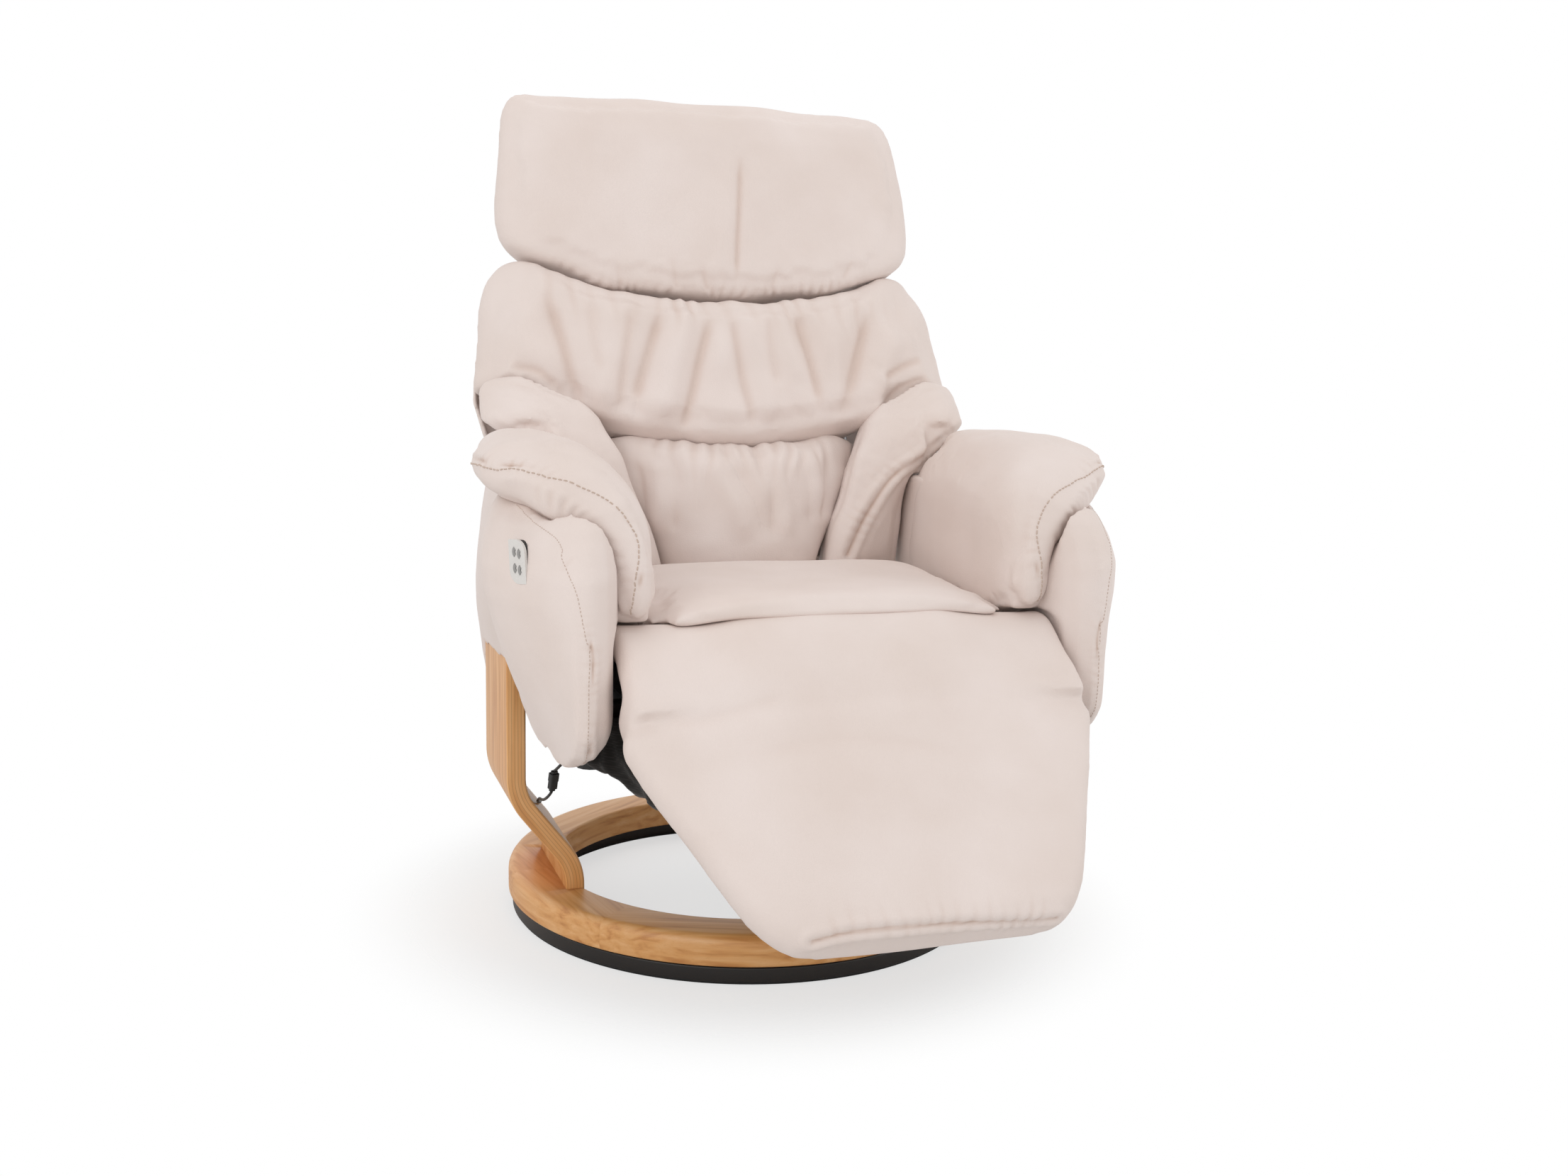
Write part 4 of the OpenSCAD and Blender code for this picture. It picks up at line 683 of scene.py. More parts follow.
class Upholstery:
    """Shapes one leather piece from its recipe: remesh, puff, sew."""

    def __init__(self, recipe: Leather) -> None:
        """Joins the recipe's solids and remeshes them as one skin.

        Args:
            recipe: What the skin is made of and how.
        """
        self.recipe = recipe
        points, faces = [], []
        count = 0
        for node in recipe.nodes + recipe.opening[:1]:
            points.append(solid_points(node))
            faces += [[count + v for v in face.vertices] for face in frame["nodes"][node].data.polygons]
            count += len(points[-1])
        if recipe.filler:
            points.append(recipe.filler[0])
            faces += [[count + v for v in face] for face in recipe.filler[1]]
        self.piece = solid(recipe.name, np.vstack(points), faces)
        self.change("REMESH", mode="VOXEL", voxel_size=recipe.voxel * MM)
        self.keep_largest()
        self.relax(recipe.ease)
        # Lines of seams and folds are measured on this form, whatever the cloth does later
        kept = self.piece.data.attributes.new("rest", "FLOAT_VECTOR", "POINT")
        kept.data.foreach_set("vector", self.points.astype(np.float32).ravel())
        self.shape()

    def shape(self) -> None:
        """Fills the skin out a little and makes the listed moves."""
        co = self.points + self.normals * self.recipe.grow * MM
        for pull in self.recipe.pulls:
            near, far, *_ = self.along(pull.line, pull.reach * 2.4)
            co[near] += np.exp(-((far / pull.reach) ** 2))[:, None] * np.array(pull.move) * MM
        self.points = co

    @property
    def rest(self) -> np.ndarray:
        """The skin's points before any cloth, which the lines are drawn on."""
        return fetch(self.piece.data.attributes["rest"].data, "vector")

    @property
    def points(self) -> np.ndarray:
        """The mesh's points."""
        return fetch(self.piece.data.vertices, "co")

    @points.setter
    def points(self, value: np.ndarray) -> None:
        """Moves the mesh's points to these places."""
        self.piece.data.vertices.foreach_set("co", value.astype(np.float32).ravel())
        self.piece.data.update()

    @property
    def normals(self) -> np.ndarray:
        """The directions square to the skin."""
        return fetch(self.piece.data.vertex_normals, "vector")

    def change(self, kind: str, **settings: object) -> None:
        """Applies one modifier.

        Args:
            kind: The modifier's type.
            **settings: Its properties.
        """
        modifier = self.piece.modifiers.new("step", kind)
        for key, value in settings.items():
            setattr(modifier, key, value)
        settle(self.piece)

    def edges(self) -> np.ndarray:
        """Returns the mesh's edges as pairs of point numbers."""
        return fetch(self.piece.data.edges, "vertices", 2, int)

    def keep_largest(self) -> None:
        """Drops the small closed pockets that a remesh leaves between solids that touch."""
        pairs = self.edges()
        group = np.arange(len(self.piece.data.vertices))
        while True:
            least = np.minimum(group[pairs[:, 0]], group[pairs[:, 1]])
            after = group.copy()
            np.minimum.at(after, pairs[:, 0], least)
            np.minimum.at(after, pairs[:, 1], least)
            after = after[after]
            if (after == group).all():
                break
            group = after
        names, sizes = np.unique(group, return_counts=True)
        keep = group == names[sizes.argmax()]
        if keep.all():
            return
        number = np.cumsum(keep) - 1
        faces = [
            [int(number[v]) for v in f.vertices]
            for f in self.piece.data.polygons if keep[f.vertices[0]]
        ]
        whole = solid("whole", self.points[keep], faces)
        old, self.piece.data = self.piece.data, whole.data
        bpy.data.objects.remove(whole)
        bpy.data.meshes.remove(old)

    def relax(self, rounds: int, shrink: float = 0.5, swell: float = -0.53) -> None:
        """Smooths the skin without making it smaller.

        Args:
            rounds: How often.
            shrink: Share of the way to the neighbours' middle.
            swell: The same for the step that restores the size.
        """
        co, pairs = self.points, self.edges()
        both = np.vstack([pairs, pairs[:, ::-1]])
        near = np.bincount(both[:, 0], minlength=len(co))[:, None]
        for _ in range(rounds):
            for share in (shrink, swell):
                middle = np.stack(
                    [np.bincount(both[:, 0], co[both[:, 1], k], len(co)) for k in range(3)], axis=1
                ) / np.maximum(near, 1)
                co = co + share * (middle - co)
        self.points = co

    def swell(self) -> None:
        """Puffs the skin as cloth under pressure, and caps how far a point moves."""
        recipe = self.recipe
        if not recipe.puff:
            return
        before, up = self.points, self.normals
        self.points = before - up * recipe.slack * MM
        modifier = self.piece.modifiers.new("cloth", "CLOTH")
        for key, value in CLOTH.items():
            setattr(modifier.settings, key, value)
        modifier.settings.uniform_pressure_force = recipe.puff
        modifier.settings.effector_weights.gravity = 0
        modifier.collision_settings.use_collision = False
        scene = bpy.context.scene
        for frame_number in range(1, CLOTH_FRAMES + 1):
            scene.frame_set(frame_number)
        settle(self.piece)
        scene.frame_set(1)
        moved = self.points - before
        out = np.einsum("ij,ij->i", moved, up)[:, None]
        aside = moved - out * up
        far = np.linalg.norm(aside, axis=1)[:, None]
        aside *= np.minimum(1, recipe.sink * MM / np.maximum(far, 1e-9))
        self.points = before + np.clip(out, -recipe.sink * MM, recipe.cap * MM) * up + aside

    def along(self, line: Sequence[Point], reach: float) -> tuple[np.ndarray, ...]:
        """Measures the points near a line.

        Args:
            line: The line's points, in millimetres in the part's frame.
            reach: How far from it counts, in millimetres.

        Returns:
            The numbers of the near points, their distance, signed side, arc length and share along it.
        """
        path = spline(np.array(line, float) * MM, 5)
        co = self.rest
        low, high = path.min(0) - reach * MM, path.max(0) + reach * MM
        near = np.nonzero(((co > low) & (co < high)).all(1))[0]
        co, up = co[near], self.normals[near]
        best = np.full(len(near), 1e9)
        side, arc = np.zeros(len(near)), np.zeros(len(near))
        done = 0.0
        for a, b in zip(path[:-1], path[1:]):
            step = b - a
            length = np.linalg.norm(step)
            t = np.clip((co - a) @ step / length**2, 0, 1)
            off = co - a - t[:, None] * step
            far = np.linalg.norm(off, axis=1)
            closer = far < best
            best[closer] = far[closer]
            arc[closer] = (done + t * length)[closer]
            side[closer] = np.einsum("ij,ij->i", off, np.cross(step / length, up))[closer]
            done += length
        use = best < reach * MM
        return near[use], best[use] / MM, np.sign(side[use]), arc[use] / MM, arc[use] / done

    def sew(self) -> None:
        """Presses the folds and gathers into the skin, and stores their painted shade as a point attribute.
        """
        recipe = self.recipe
        co, up, rest = self.points, self.normals, self.rest
        push, shade = np.zeros(len(co)), np.zeros(len(co))
        if recipe.undulation[0]:
            push += recipe.undulation[0] * waves(rest, recipe.undulation[1], 7)
        for g in recipe.gathers:
            near, far, _, arc, share = self.along(g.line, g.reach * 2.2)
            phase = waves(rest[near], g.pitch * 5, g.seed) * 2.4
            height = 0.65 + 0.5 * waves(rest[near], g.pitch * 3, g.seed + 20)
            fade = np.exp(-((far / g.reach) ** 2)) * smoothstep(np.minimum(share, 1 - share) * 8)
            crest = np.sin(arc * 2 * math.pi / g.pitch + phase)
            push[near] += g.height * fade * height * crest
            # Painted shade in the pucker troughs
            shade[near] += 0.25 * fade * height * np.clip(-crest, 0, 1)
        for f in recipe.folds:
            near, far, side, _, share = self.along(f.line, f.width * 5)
            ends = 1.0 if f.whole else smoothstep(np.minimum(share, 1 - share) * 5)
            floor = 0.62 * np.exp(-((far / f.width) ** 2)) + 0.38 * np.exp(-((far / (0.35 * f.width)) ** 2))
            lip = np.exp(-(((far - 2.1 * f.width) / (1.2 * f.width)) ** 2))
            push[near] += ends * (f.depth * (f.lips * lip * (1 + f.tuck * side) - floor))
            # Painted shade along the fold's floor
            shade[near] += f.shade * ends * np.exp(-((far / max(0.45 * f.width, 2.0)) ** 2))
        self.points = co + up * push[:, None] * MM
        # The painted shade mask that the leather's colour reads
        made = self.piece.data.attributes.new("painted_fold_shade", "FLOAT", "POINT")
        made.data.foreach_set("value", np.clip(shade, 0, 1).astype(np.float32))

    def open_up(self, plate: str, rim: float = 5.0, deep: float = 38.0) -> None:
        """Sinks the pocket that a recessed box sits in, under the plate that covers it.

        Args:
            plate: The covering node.
            rim: How much smaller than the plate the pocket is, in mm.
            deep: Its depth, in mm.
        """
        cover = solid_points(plate)
        middle = cover.mean(0)
        axes = np.linalg.svd(cover - middle, full_matrices=False)[2]
        half = np.abs((cover - middle) @ axes.T).max(0) - rim * MM
        co = self.points
        up = self.normals
        place = (co - middle) @ axes.T
        within = (np.abs(place[:, :2] / half[:2]) ** 3).sum(1) < 1
        within &= np.abs(place[:, 2]) < 14 * MM
        way = axes[2] * np.sign((up[within] @ axes[2]).sum())
        co[within] -= way * deep * MM
        self.points = co

    def build(self) -> Piece:
        """Runs every step.

        Returns:
            The finished piece.
        """
        recipe = self.recipe
        self.swell()
        if recipe.fine:
            self.change("SUBSURF", levels=1, render_levels=1)
        self.sew()
        if recipe.opening:
            self.open_up(recipe.opening[1])
        mesh = self.piece.data
        mesh.polygons.foreach_set("use_smooth", [True] * len(mesh.polygons))
        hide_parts(*recipe.nodes)
        finished(self.piece, recipe.body, Slot.LEATHER)
        return self.piece


def waves(points: np.ndarray, pitch: float, seed: int) -> np.ndarray:
    """A smooth random field of about -1 to 1.

    Args:
        points: Where, in metres.
        pitch: Its wavelength, in millimetres.
        seed: Which field.

    Returns:
        The field's value at each point.
    """
    draw = np.random.default_rng(seed)
    out = np.zeros(len(points))
    count = 10
    for _ in range(count):
        way = draw.normal(size=3)
        way *= 2 * math.pi / (pitch * MM) / np.linalg.norm(way) * draw.uniform(0.6, 1.4)
        out += np.sin(points @ way + draw.uniform(0, 2 * math.pi))
    return out / math.sqrt(count / 2) * 0.7


@dataclass
class Stitching:
    """A row of stitches or a welt on a piece, beside its seam.

    Attributes:
        line: The seam, in millimetres in the part's frame.
        offset: How far the row stands from the seam, in mm, to its left.
        pitch: From one stitch to the next, in mm.
        length: A stitch's length, in mm.
        radius: The thread's radius, in mm.
    """

    line: Sequence[Point]
    offset: float = 4.0
    pitch: float = 5.2
    length: float = 3.4
    radius: float = 0.55

    def draw(self, skin: Piece, name: str, body: Body) -> Piece:
        """Lays the stitches on the skin.

        Args:
            skin: The leather piece.
            name: The row's name.
            body: What it moves with.

        Returns:
            The stitches as one piece.
        """
        mesh = skin.data
        tree = BVHTree.FromPolygons([v.co for v in mesh.vertices], [p.vertices[:] for p in mesh.polygons])
        path = spline(np.array(self.line, float) * MM, 24)
        steps = np.linalg.norm(np.diff(path, axis=0), axis=1)
        arc = np.concatenate([[0], np.cumsum(steps)])
        points, faces = [], []
        count = 0
        for start in np.arange(0, arc[-1] - self.length * MM, self.pitch * MM):
            ends = []
            for s in (start, start + self.length * MM):
                p = np.array([np.interp(s, arc, path[:, k]) for k in range(3)])
                q = np.array([np.interp(min(s + 0.002, arc[-1]), arc, path[:, k]) for k in range(3)])
                hit, normal, _, _ = tree.find_nearest(Vector(p))
                aside = Vector(q - p).cross(normal)
                if aside.length > 1e-9:
                    hit, normal, _, _ = tree.find_nearest(hit + aside.normalized() * self.offset * MM)
                ends.append((np.array(hit), np.array(normal)))
            (a, na), (b, nb) = ends
            lift = self.radius * MM
            middle = (a + b) / 2 + (na + nb) / 2 * lift * 0.7
            line = np.array(
                [
                    a - na * lift * 0.6, a + (b - a) * 0.12 + na * lift * 0.3, middle,
                    b + (a - b) * 0.12 + nb * lift * 0.3, b - nb * lift * 0.6,
                ]
            )
            ring, sheets = tube(line, np.array([0.5, 0.95, 1, 0.95, 0.5]) * lift, 6, count)
            points.append(ring)
            faces += sheets
            count += len(ring)
        row = solid(name, np.vstack(points), faces)
        return finished(row, body, Slot.LEATHER, THREAD)


# Leather recipes, in millimetres in the part's frame; sided ones are drawn for the sitter's right
def mirrored(line: Sequence[Point]) -> list[Point]:
    """Returns a line mirrored to the sitter's left."""
    return [(-x, y, z) for x, y, z in line]


def twin(line: Sequence[Point], reach: float, move: Point) -> list[Pull]:
    """Returns a pull and its mirror image."""
    x, y, z = move
    return [Pull(line, reach, move), Pull(mirrored(line), reach, (-x, y, z))]


PAD_SEAM = [
    (-380, 118, 606), (-386, 60, 612), (-389, -20, 617), (-386, -92, 619), (-370, -112, 617),
    (-348, -132, 614), (-316, -147, 601), (-279, -157, 583), (-255, -172, 567), (-239, -187, 541),
    (-237, -197, 514), (-241, -207, 485), (-247, -202, 446),
]
PAD_UNDER = [
    (-372, -130, 585), (-340, -165, 582), (-305, -190, 560), (-280, -203, 535), (-268, -207, 500),
    (-262, -206, 462),
]
PANEL_SEAM = [
    (-352, -97, 578), (-340, -212, 555), (-330, -222, 531), (-320, -249, 501), (-310, -251, 468),
    (-300, -244, 430), (-300, -247, 393), (-300, -241, 335), (-297, -197, 302),
]
HEAD_BOTTOM = [
    (-243, 332, 855), (-200, 323, 842), (-149, 315, 831), (-50, 307, 826), (-9, 304, 828), (30, 305, 827),
    (104, 309, 831), (160, 312, 842), (230, 322, 862),
]
WING_SEAM = [
    (-328, 212, 650), (-296, 196, 628), (-254, 176, 604), (-206, 166, 574), (-174, 165, 524),
    (-148, 163, 472),
]
# The knee roll's radius and its axis
KNEE = (75, -172.5, 370)
FOOT_SEAM = [(-132, -470, 183), (-89, -476, 191), (12, -477, 189), (137, -467, 178)]


def back_pieces() -> list[Leather]:
    """Sets down the headrest, the back's cushions and its shell.

    Returns:
        Their recipes.
    """
    head = Leather(
        "headrest_leather", ("headrest_cushion",), Body.HEADREST, voxel=5.5, puff=4.0, cap=4.0, slack=2.0,
        fill=0.85, undulation=(1.6, 120.0),
        folds=[
            Fold([(39, 352, 1020), (30, 328, 935), (24, 313, 876), (19, 305, 828)], 5.0, 9.0, 0.3),
            Fold([(-150, 322, 872), (-146, 314, 845), (-140, 318, 820)], 2.0, 8.0, 0.3, shade=0.25),
            Fold([(-72, 316, 868), (-68, 308, 842), (-62, 310, 818)], 2.4, 8.0, 0.3, shade=0.25),
            Fold([(-30, 314, 860), (-24, 306, 836), (-18, 306, 816)], 2.2, 7.0, -0.3, shade=0.3),
            Fold([(84, 316, 862), (78, 308, 840), (72, 312, 818)], 2.0, 8.0, 0.3, shade=0.25),
            Fold([(205, 332, 886), (194, 320, 862), (182, 318, 842)], 2.6, 8.0, -0.3, shade=0.3),
        ],
        pulls=[
            Pull([(-120, 318, 800), (0, 310, 798), (120, 318, 800)], 32.0, (0, 0, 7)),
            Pull([(-285, 340, 850), (-225, 330, 825)], 34.0, (-6, 0, 14)),
            Pull([(280, 340, 850), (225, 330, 825)], 34.0, (4, 0, 6)),
            Pull([(-290, 400, 1070), (-280, 400, 1080)], 34.0, (-8, 0, 8)),
            Pull([(290, 400, 1065), (280, 400, 1075)], 34.0, (4, 0, 3)),
        ],
        gathers=[Gather([(x, y + 4, z - 12) for x, y, z in HEAD_BOTTOM], 15.0, 1.3, 12.0, 3)],
    )
    shoulder = Leather(
        "shoulder_leather", ("shoulder_cushion",), Body.BACKREST, voxel=5.5, puff=3.0, cap=7.0, slack=2.0,
        grow=1.0, fill=0.75, undulation=(2.2, 85.0),
        folds=[
            Fold([(-244, 306, 808), (-233, 276, 753), (-222, 252, 700), (-212, 236, 655)], 8.4, 16.9, 0.5),
            Fold(
                [(-135, 287, 801), (-147, 262, 745), (-159, 238, 689), (-163, 230, 650)], 6.3, 15.6, 0.4,
                shade=0.3,
            ),
            Fold(
                [(-92, 284, 795), (-105, 270, 768), (-133, 240, 699), (-148, 237, 637)], 9.8, 16.9, 0.5,
                lips=0.55,
            ),
            Fold([(-22, 281, 795), (-44, 255, 738), (-72, 219, 656), (-82, 214, 625)], 9.1, 15.6, 0.5),
            Fold([(6, 281, 795), (8, 260, 748), (15, 228, 678), (20, 214, 630)], 6.3, 14.3, -0.4, shade=0.4),
            Fold([(60, 282, 795), (56, 262, 750), (62, 235, 690)], 4.2, 15.6, -0.4, shade=0.2),
            Fold([(100, 290, 805), (108, 267, 760), (117, 243, 706), (122, 228, 655)], 8.4, 15.6, -0.5),
            Fold(
                [(215, 297, 802), (200, 275, 762), (183, 255, 722), (165, 240, 680), (150, 226, 645)],
                10.5, 18.2, -0.5, lips=0.55,
            ),
            Fold([(300, 290, 735), (255, 265, 722), (215, 250, 700)], 5.6, 13.0, 0.3),
            Fold([(310, 285, 705), (265, 255, 700), (215, 240, 668)], 7.0, 13.0, 0.3),
            Fold([(-300, 280, 715), (-262, 262, 706), (-225, 245, 672)], 5.6, 13.0, 0.3),
            Fold([(-190, 296, 805), (-190, 270, 750), (-184, 248, 700)], 3.5, 15.6, 0.3, shade=0.2),
        ],
        pulls=[
            Pull([(-305, 325, 812), (-255, 325, 835)], 42.0, (-11, 7, 22)),
            Pull([(305, 325, 812), (255, 325, 835)], 42.0, (5, 7, 15)),
            *twin([(-285, 262, 690), (-235, 250, 688)], 34.0, (0, 6, 0)),
        ],
        gathers=[
            Gather(
                [(-280, 320, 820), (-150, 305, 806), (0, 296, 800), (150, 305, 806), (280, 320, 820)],
                27.0, 1.3, 36.0, 5,
            ),
            Gather(
                [(-200, 232, 612), (-100, 222, 600), (0, 218, 596), (100, 222, 600), (180, 232, 612)],
                19.0, 1.2, 16.0, 9,
            ),
        ],
    )
    lumbar = Leather(
        "lumbar_leather", ("lumbar_cushion",), Body.BACKREST, voxel=5.0, puff=3.0, cap=7.0, slack=2.0,
        grow=2.5, fill=0.7, undulation=(2.0, 70.0),
        folds=[
            Fold([(-34, 214, 608), (-16, 200, 580), (6, 178, 540), (18, 160, 490)], 9.1, 12.0, 0.4),
            Fold(
                [(14, 210, 606), (29, 196, 575), (34, 174, 540), (30, 155, 490)], 6.3, 10.0, -0.4,
                shade=0.3,
            ),
            Fold([(-95, 212, 605), (-92, 196, 560), (-100, 176, 500)], 4.9, 12.0, 0.4, shade=0.2),
            Fold([(-137, 222, 598), (-134, 210, 550), (-140, 195, 490)], 4.9, 12.0, 0.4, shade=0.2),
            Fold([(84, 214, 605), (92, 196, 560), (90, 176, 505)], 5.6, 12.0, -0.4, shade=0.25),
            Fold([(130, 224, 600), (120, 208, 560), (112, 186, 510)], 4.9, 12.0, -0.4, shade=0.25),
        ],
        pulls=[
            Pull([(-110, 200, 458), (0, 190, 458), (110, 200, 458)], 28.0, (0, 2, -14)),
            Pull([(-130, 235, 612), (0, 215, 612), (130, 235, 612)], 20.0, (0, 4, 8)),
            *twin([(-150, 215, 480), (-160, 235, 540), (-165, 250, 600)], 22.0, (-16, 6, 0)),
            *twin([(-150, 240, 608), (-165, 260, 600)], 24.0, (-14, 4, 10)),
        ],
        gathers=[
            Gather(
                [(-160, 224, 610), (-80, 212, 602), (0, 208, 600), (80, 212, 604), (150, 224, 612)], 21.0,
                1.8, 34.0, 11,
            )
        ],
    )
    shell = Leather(
        "back_shell_leather", ("back_shell",), Body.BACKREST, voxel=3.2, ease=10, fine=False, fill=0.3,
        undulation=(0.8, 150.0),
        pulls=[Pull([(-220, 262, 455), (0, 265, 455), (220, 262, 455)], 20.0, (0, 0, -8))],
    )
    return [head, shoulder, lumbar, shell]


def gusset(sign: int) -> tuple[np.ndarray, Faces]:
    """Shapes the padding under a wing's tip, where the wing lies on the arm.

    Args:
        sign: -1 for the sitter's right, 1 for the left.

    Returns:
        Points in metres, and faces.
    """
    front = [
        (318, 216, 664), (323, 212, 651), (312, 205, 637), (298, 197, 621), (276, 188, 598),
        (258, 180, 578), (240, 177, 590), (245, 186, 640), (272, 202, 664),
    ]
    points = [(sign * x, y + back, z) for back in (0, 42) for x, y, z in front]
    return np.array(points) * MM, skin(2, len(front), flip=sign < 0)


def wing_piece(side: str) -> Leather:
    """Sets down a wing.

    Args:
        side: right or left, as the sitter has it.

    Returns:
        Its recipe.
    """
    turn, sign = (list, -1) if side == "right" else (mirrored, 1)
    return Leather(
        f"wing_{side}_leather", (f"wing_{side}",), Body.BACKREST, voxel=4.0, ease=18, puff=2.5, cap=4.0,
        slack=1.5, grow=1.0, fill=0.6, undulation=(1.0, 70.0), filler=gusset(sign),
        folds=[
            Fold(turn(WING_SEAM), 3.5, 4.0, lips=0.6, whole=True, shade=0.8),
            Fold(turn([(-330, 262, 690), (-280, 236, 690), (-235, 205, 660)]), 1.6, 9.0, 0.3, shade=0.1),
            Fold(turn([(-322, 240, 676), (-280, 214, 660), (-246, 198, 630)]), 1.8, 8.0, -0.3, shade=0.15),
            Fold(turn([(-215, 168, 590), (-190, 166, 575), (-170, 172, 560)]), 2.0, 8.0, 0.3, shade=0.2),
        ],
        gathers=[Gather(turn(WING_SEAM), 14.0, 0.6, 18.0, 15)],
        pulls=[
            Pull(turn([(-230, 215, 460), (-150, 200, 460), (-116, 190, 458)]), 24.0, (0, 0, -24)),
            Pull(turn([(-180, 185, 600), (-150, 172, 540), (-122, 168, 475)]), 24.0, (-13 * sign, -2, 0)),
            Pull(turn([(-203, 237, 678), (-238, 245, 695), (-278, 255, 698)]), 30.0, (0, -6, 3)),
            Pull(turn([(-330, 225, 648), (-318, 212, 642)]), 20.0, (5 * sign, -2, -4)),
            Pull(turn([(-339, 245, 690), (-334, 230, 655)]), 26.0, (-9 if side == "right" else 3, 0, 0)),
        ],
    )


@dataclass
class Bolster:
    """The padding between an arm's pad and the seat, so that one leather runs over the arm."""

    # Place along Y, inner side, and the crest's distance out and height
    rows: tuple[tuple[float, float, float, float], ...] = (
        (192, 249, 300, 608), (158, 243, 300, 622), (120, 241, 300, 633), (60, 237, 305, 641),
        (0, 232, 312, 643), (-60, 226, 314, 642), (-100, 222, 312, 636), (-130, 219, 300, 620),
        (-150, 218, 285, 603), (-165, 219, 268, 583), (-178, 222, 252, 556),
    )
    low: float = 425.0
    bend: float = 530.0
    # Room over the knee roll
    room: float = 4.0

    def mesh(self, sign: int) -> tuple[np.ndarray, Faces]:
        """Shapes the padding.

        Args:
            sign: -1 for the sitter's right, 1 for the left.

        Returns:
            Its points in metres, and its faces.
        """
        rows = spline(np.array(self.rows, float), 5)
        points, turns = [], np.linspace(0, math.pi / 2, 10)
        for y, inner, crest, top in rows:
            bend = min(self.bend, top - 12)
            over = (KNEE[0] + self.room) ** 2 - (y - KNEE[1]) ** 2
            low = max(self.low, KNEE[2] + math.sqrt(max(over, 0)))
            ring = [(crest, low), (inner + 2, low), (inner, (low + bend) / 2)]
            ring += [
                (crest - (crest - inner) * math.cos(a) ** 0.85, bend + (top - bend) * math.sin(a) ** 0.85)
                for a in turns
            ]
            points += [(sign * x, y, z) for x, z in ring]
        return np.array(points) * MM, skin(len(rows), len(ring), flip=sign > 0)


def arm_pieces(side: str) -> list[Leather]:
    """Sets down one arm: its body and its pad.

    Args:
        side: right or left, as the sitter has it.

    Returns:
        Their recipes.
    """
    turn = list if side == "right" else mirrored
    arm = Leather(
        f"arm_{side}_leather", (f"side_panel_{side}", f"arm_box_{side}"), Body.TURNTABLE, voxel=5.0,
        ease=20, fill=0.9, undulation=(0.8, 140.0),
        folds=[Fold(turn(PANEL_SEAM), 1.9, 2.8, whole=True, shade=0.8)],
        gathers=[Gather(turn(PANEL_SEAM), 12.0, 0.15, 10.0, 17)],
        opening=("switch_box", "switch_plate") if side == "right" else (),
    )
    pad = Leather(
        f"arm_pad_{side}_leather", (f"arm_pad_{side}",), Body.TURNTABLE, voxel=4.0, ease=24, puff=2.5,
        cap=3.0, slack=1.0, fill=0.85, undulation=(1.2, 110.0),
        filler=Bolster().mesh(-1 if side == "right" else 1),
        folds=[Fold(turn(PAD_SEAM), 2.0, 2.6, lips=0.6, whole=True, shade=0.8)],
        gathers=[Gather(turn(PAD_UNDER), 15.0, 1.6, 13.0, 19), Gather(turn(PAD_SEAM), 13.0, 0.3, 9.0, 21)],
        pulls=[
            Pull(turn(PAD_UNDER), 18.0, (0, 7, 7)),
            Pull(turn([(-270, 228, 606), (-310, 228, 632), (-361, 228, 618)]), 30.0, (0, -32, 0)),
            Pull(turn([(-270, 205, 630), (-270, 165, 628)]), 22.0, (-14 if side == "right" else 14, -3, -12)),
        ],
    )
    return [arm, pad]


def seat_pieces() -> list[Leather]:
    """Sets down the seat, and the footrest with its knee roll.

    Returns:
        Their recipes.
    """
    seat = Leather(
        "seat_leather", ("seat_cushion",), Body.TURNTABLE, voxel=5.5, puff=2.0, cap=5.0, slack=1.0,
        fill=0.9, undulation=(1.0, 150.0),
        pulls=[
            Pull(
                [(-215, -170, 448), (-100, -176, 452), (100, -176, 452), (215, -170, 448)], 14.0,
                (0, -11, -7),
            ),
            Pull([(-110, -165, 455), (110, -165, 455)], 80.0, (0, 0, 8)),
            Pull([(-150, 60, 466), (150, 60, 466)], 60.0, (0, 0, 4)),
        ],
    )
    foot = Leather(
        "footrest_leather", ("knee_pad", "footrest_pad"), Body.FOOTREST, voxel=5.5, ease=60, fill=0.85,
        undulation=(1.4, 190.0),
        folds=[
            Fold(FOOT_SEAM, 3.0, 4.0, lips=0.6, whole=True, shade=0.8),
            Fold(
                [(-235, -275, 365), (-200, -290, 365), (-150, -285, 375), (-90, -272, 385)], 2.0, 16.0,
                lips=0.4, shade=0.1,
            ),
            Fold(
                [(-150, -330, 335), (-60, -320, 345), (30, -330, 335), (100, -350, 318)], 1.4, 20.0,
                lips=0.4, shade=0.05,
            ),
        ],
        gathers=[Gather(FOOT_SEAM, 16.0, 1.0, 18.0, 23)],
        pulls=[Pull([(252, -262, 395), (256, -275, 378), (258, -288, 352)], 20.0, (6, 0, 0))]
        + [
            Pull(
                [(x, KNEE[1] + KNEE[0] * math.cos(a), KNEE[2] + KNEE[0] * math.sin(a)) for x in (-110, 110)],
                42.0, (0, 6 * math.cos(a), 6 * math.sin(a)),
            )
            for a in (math.radians(60 + 40 * k) for k in range(4))
        ],
    )
    return [seat, foot]


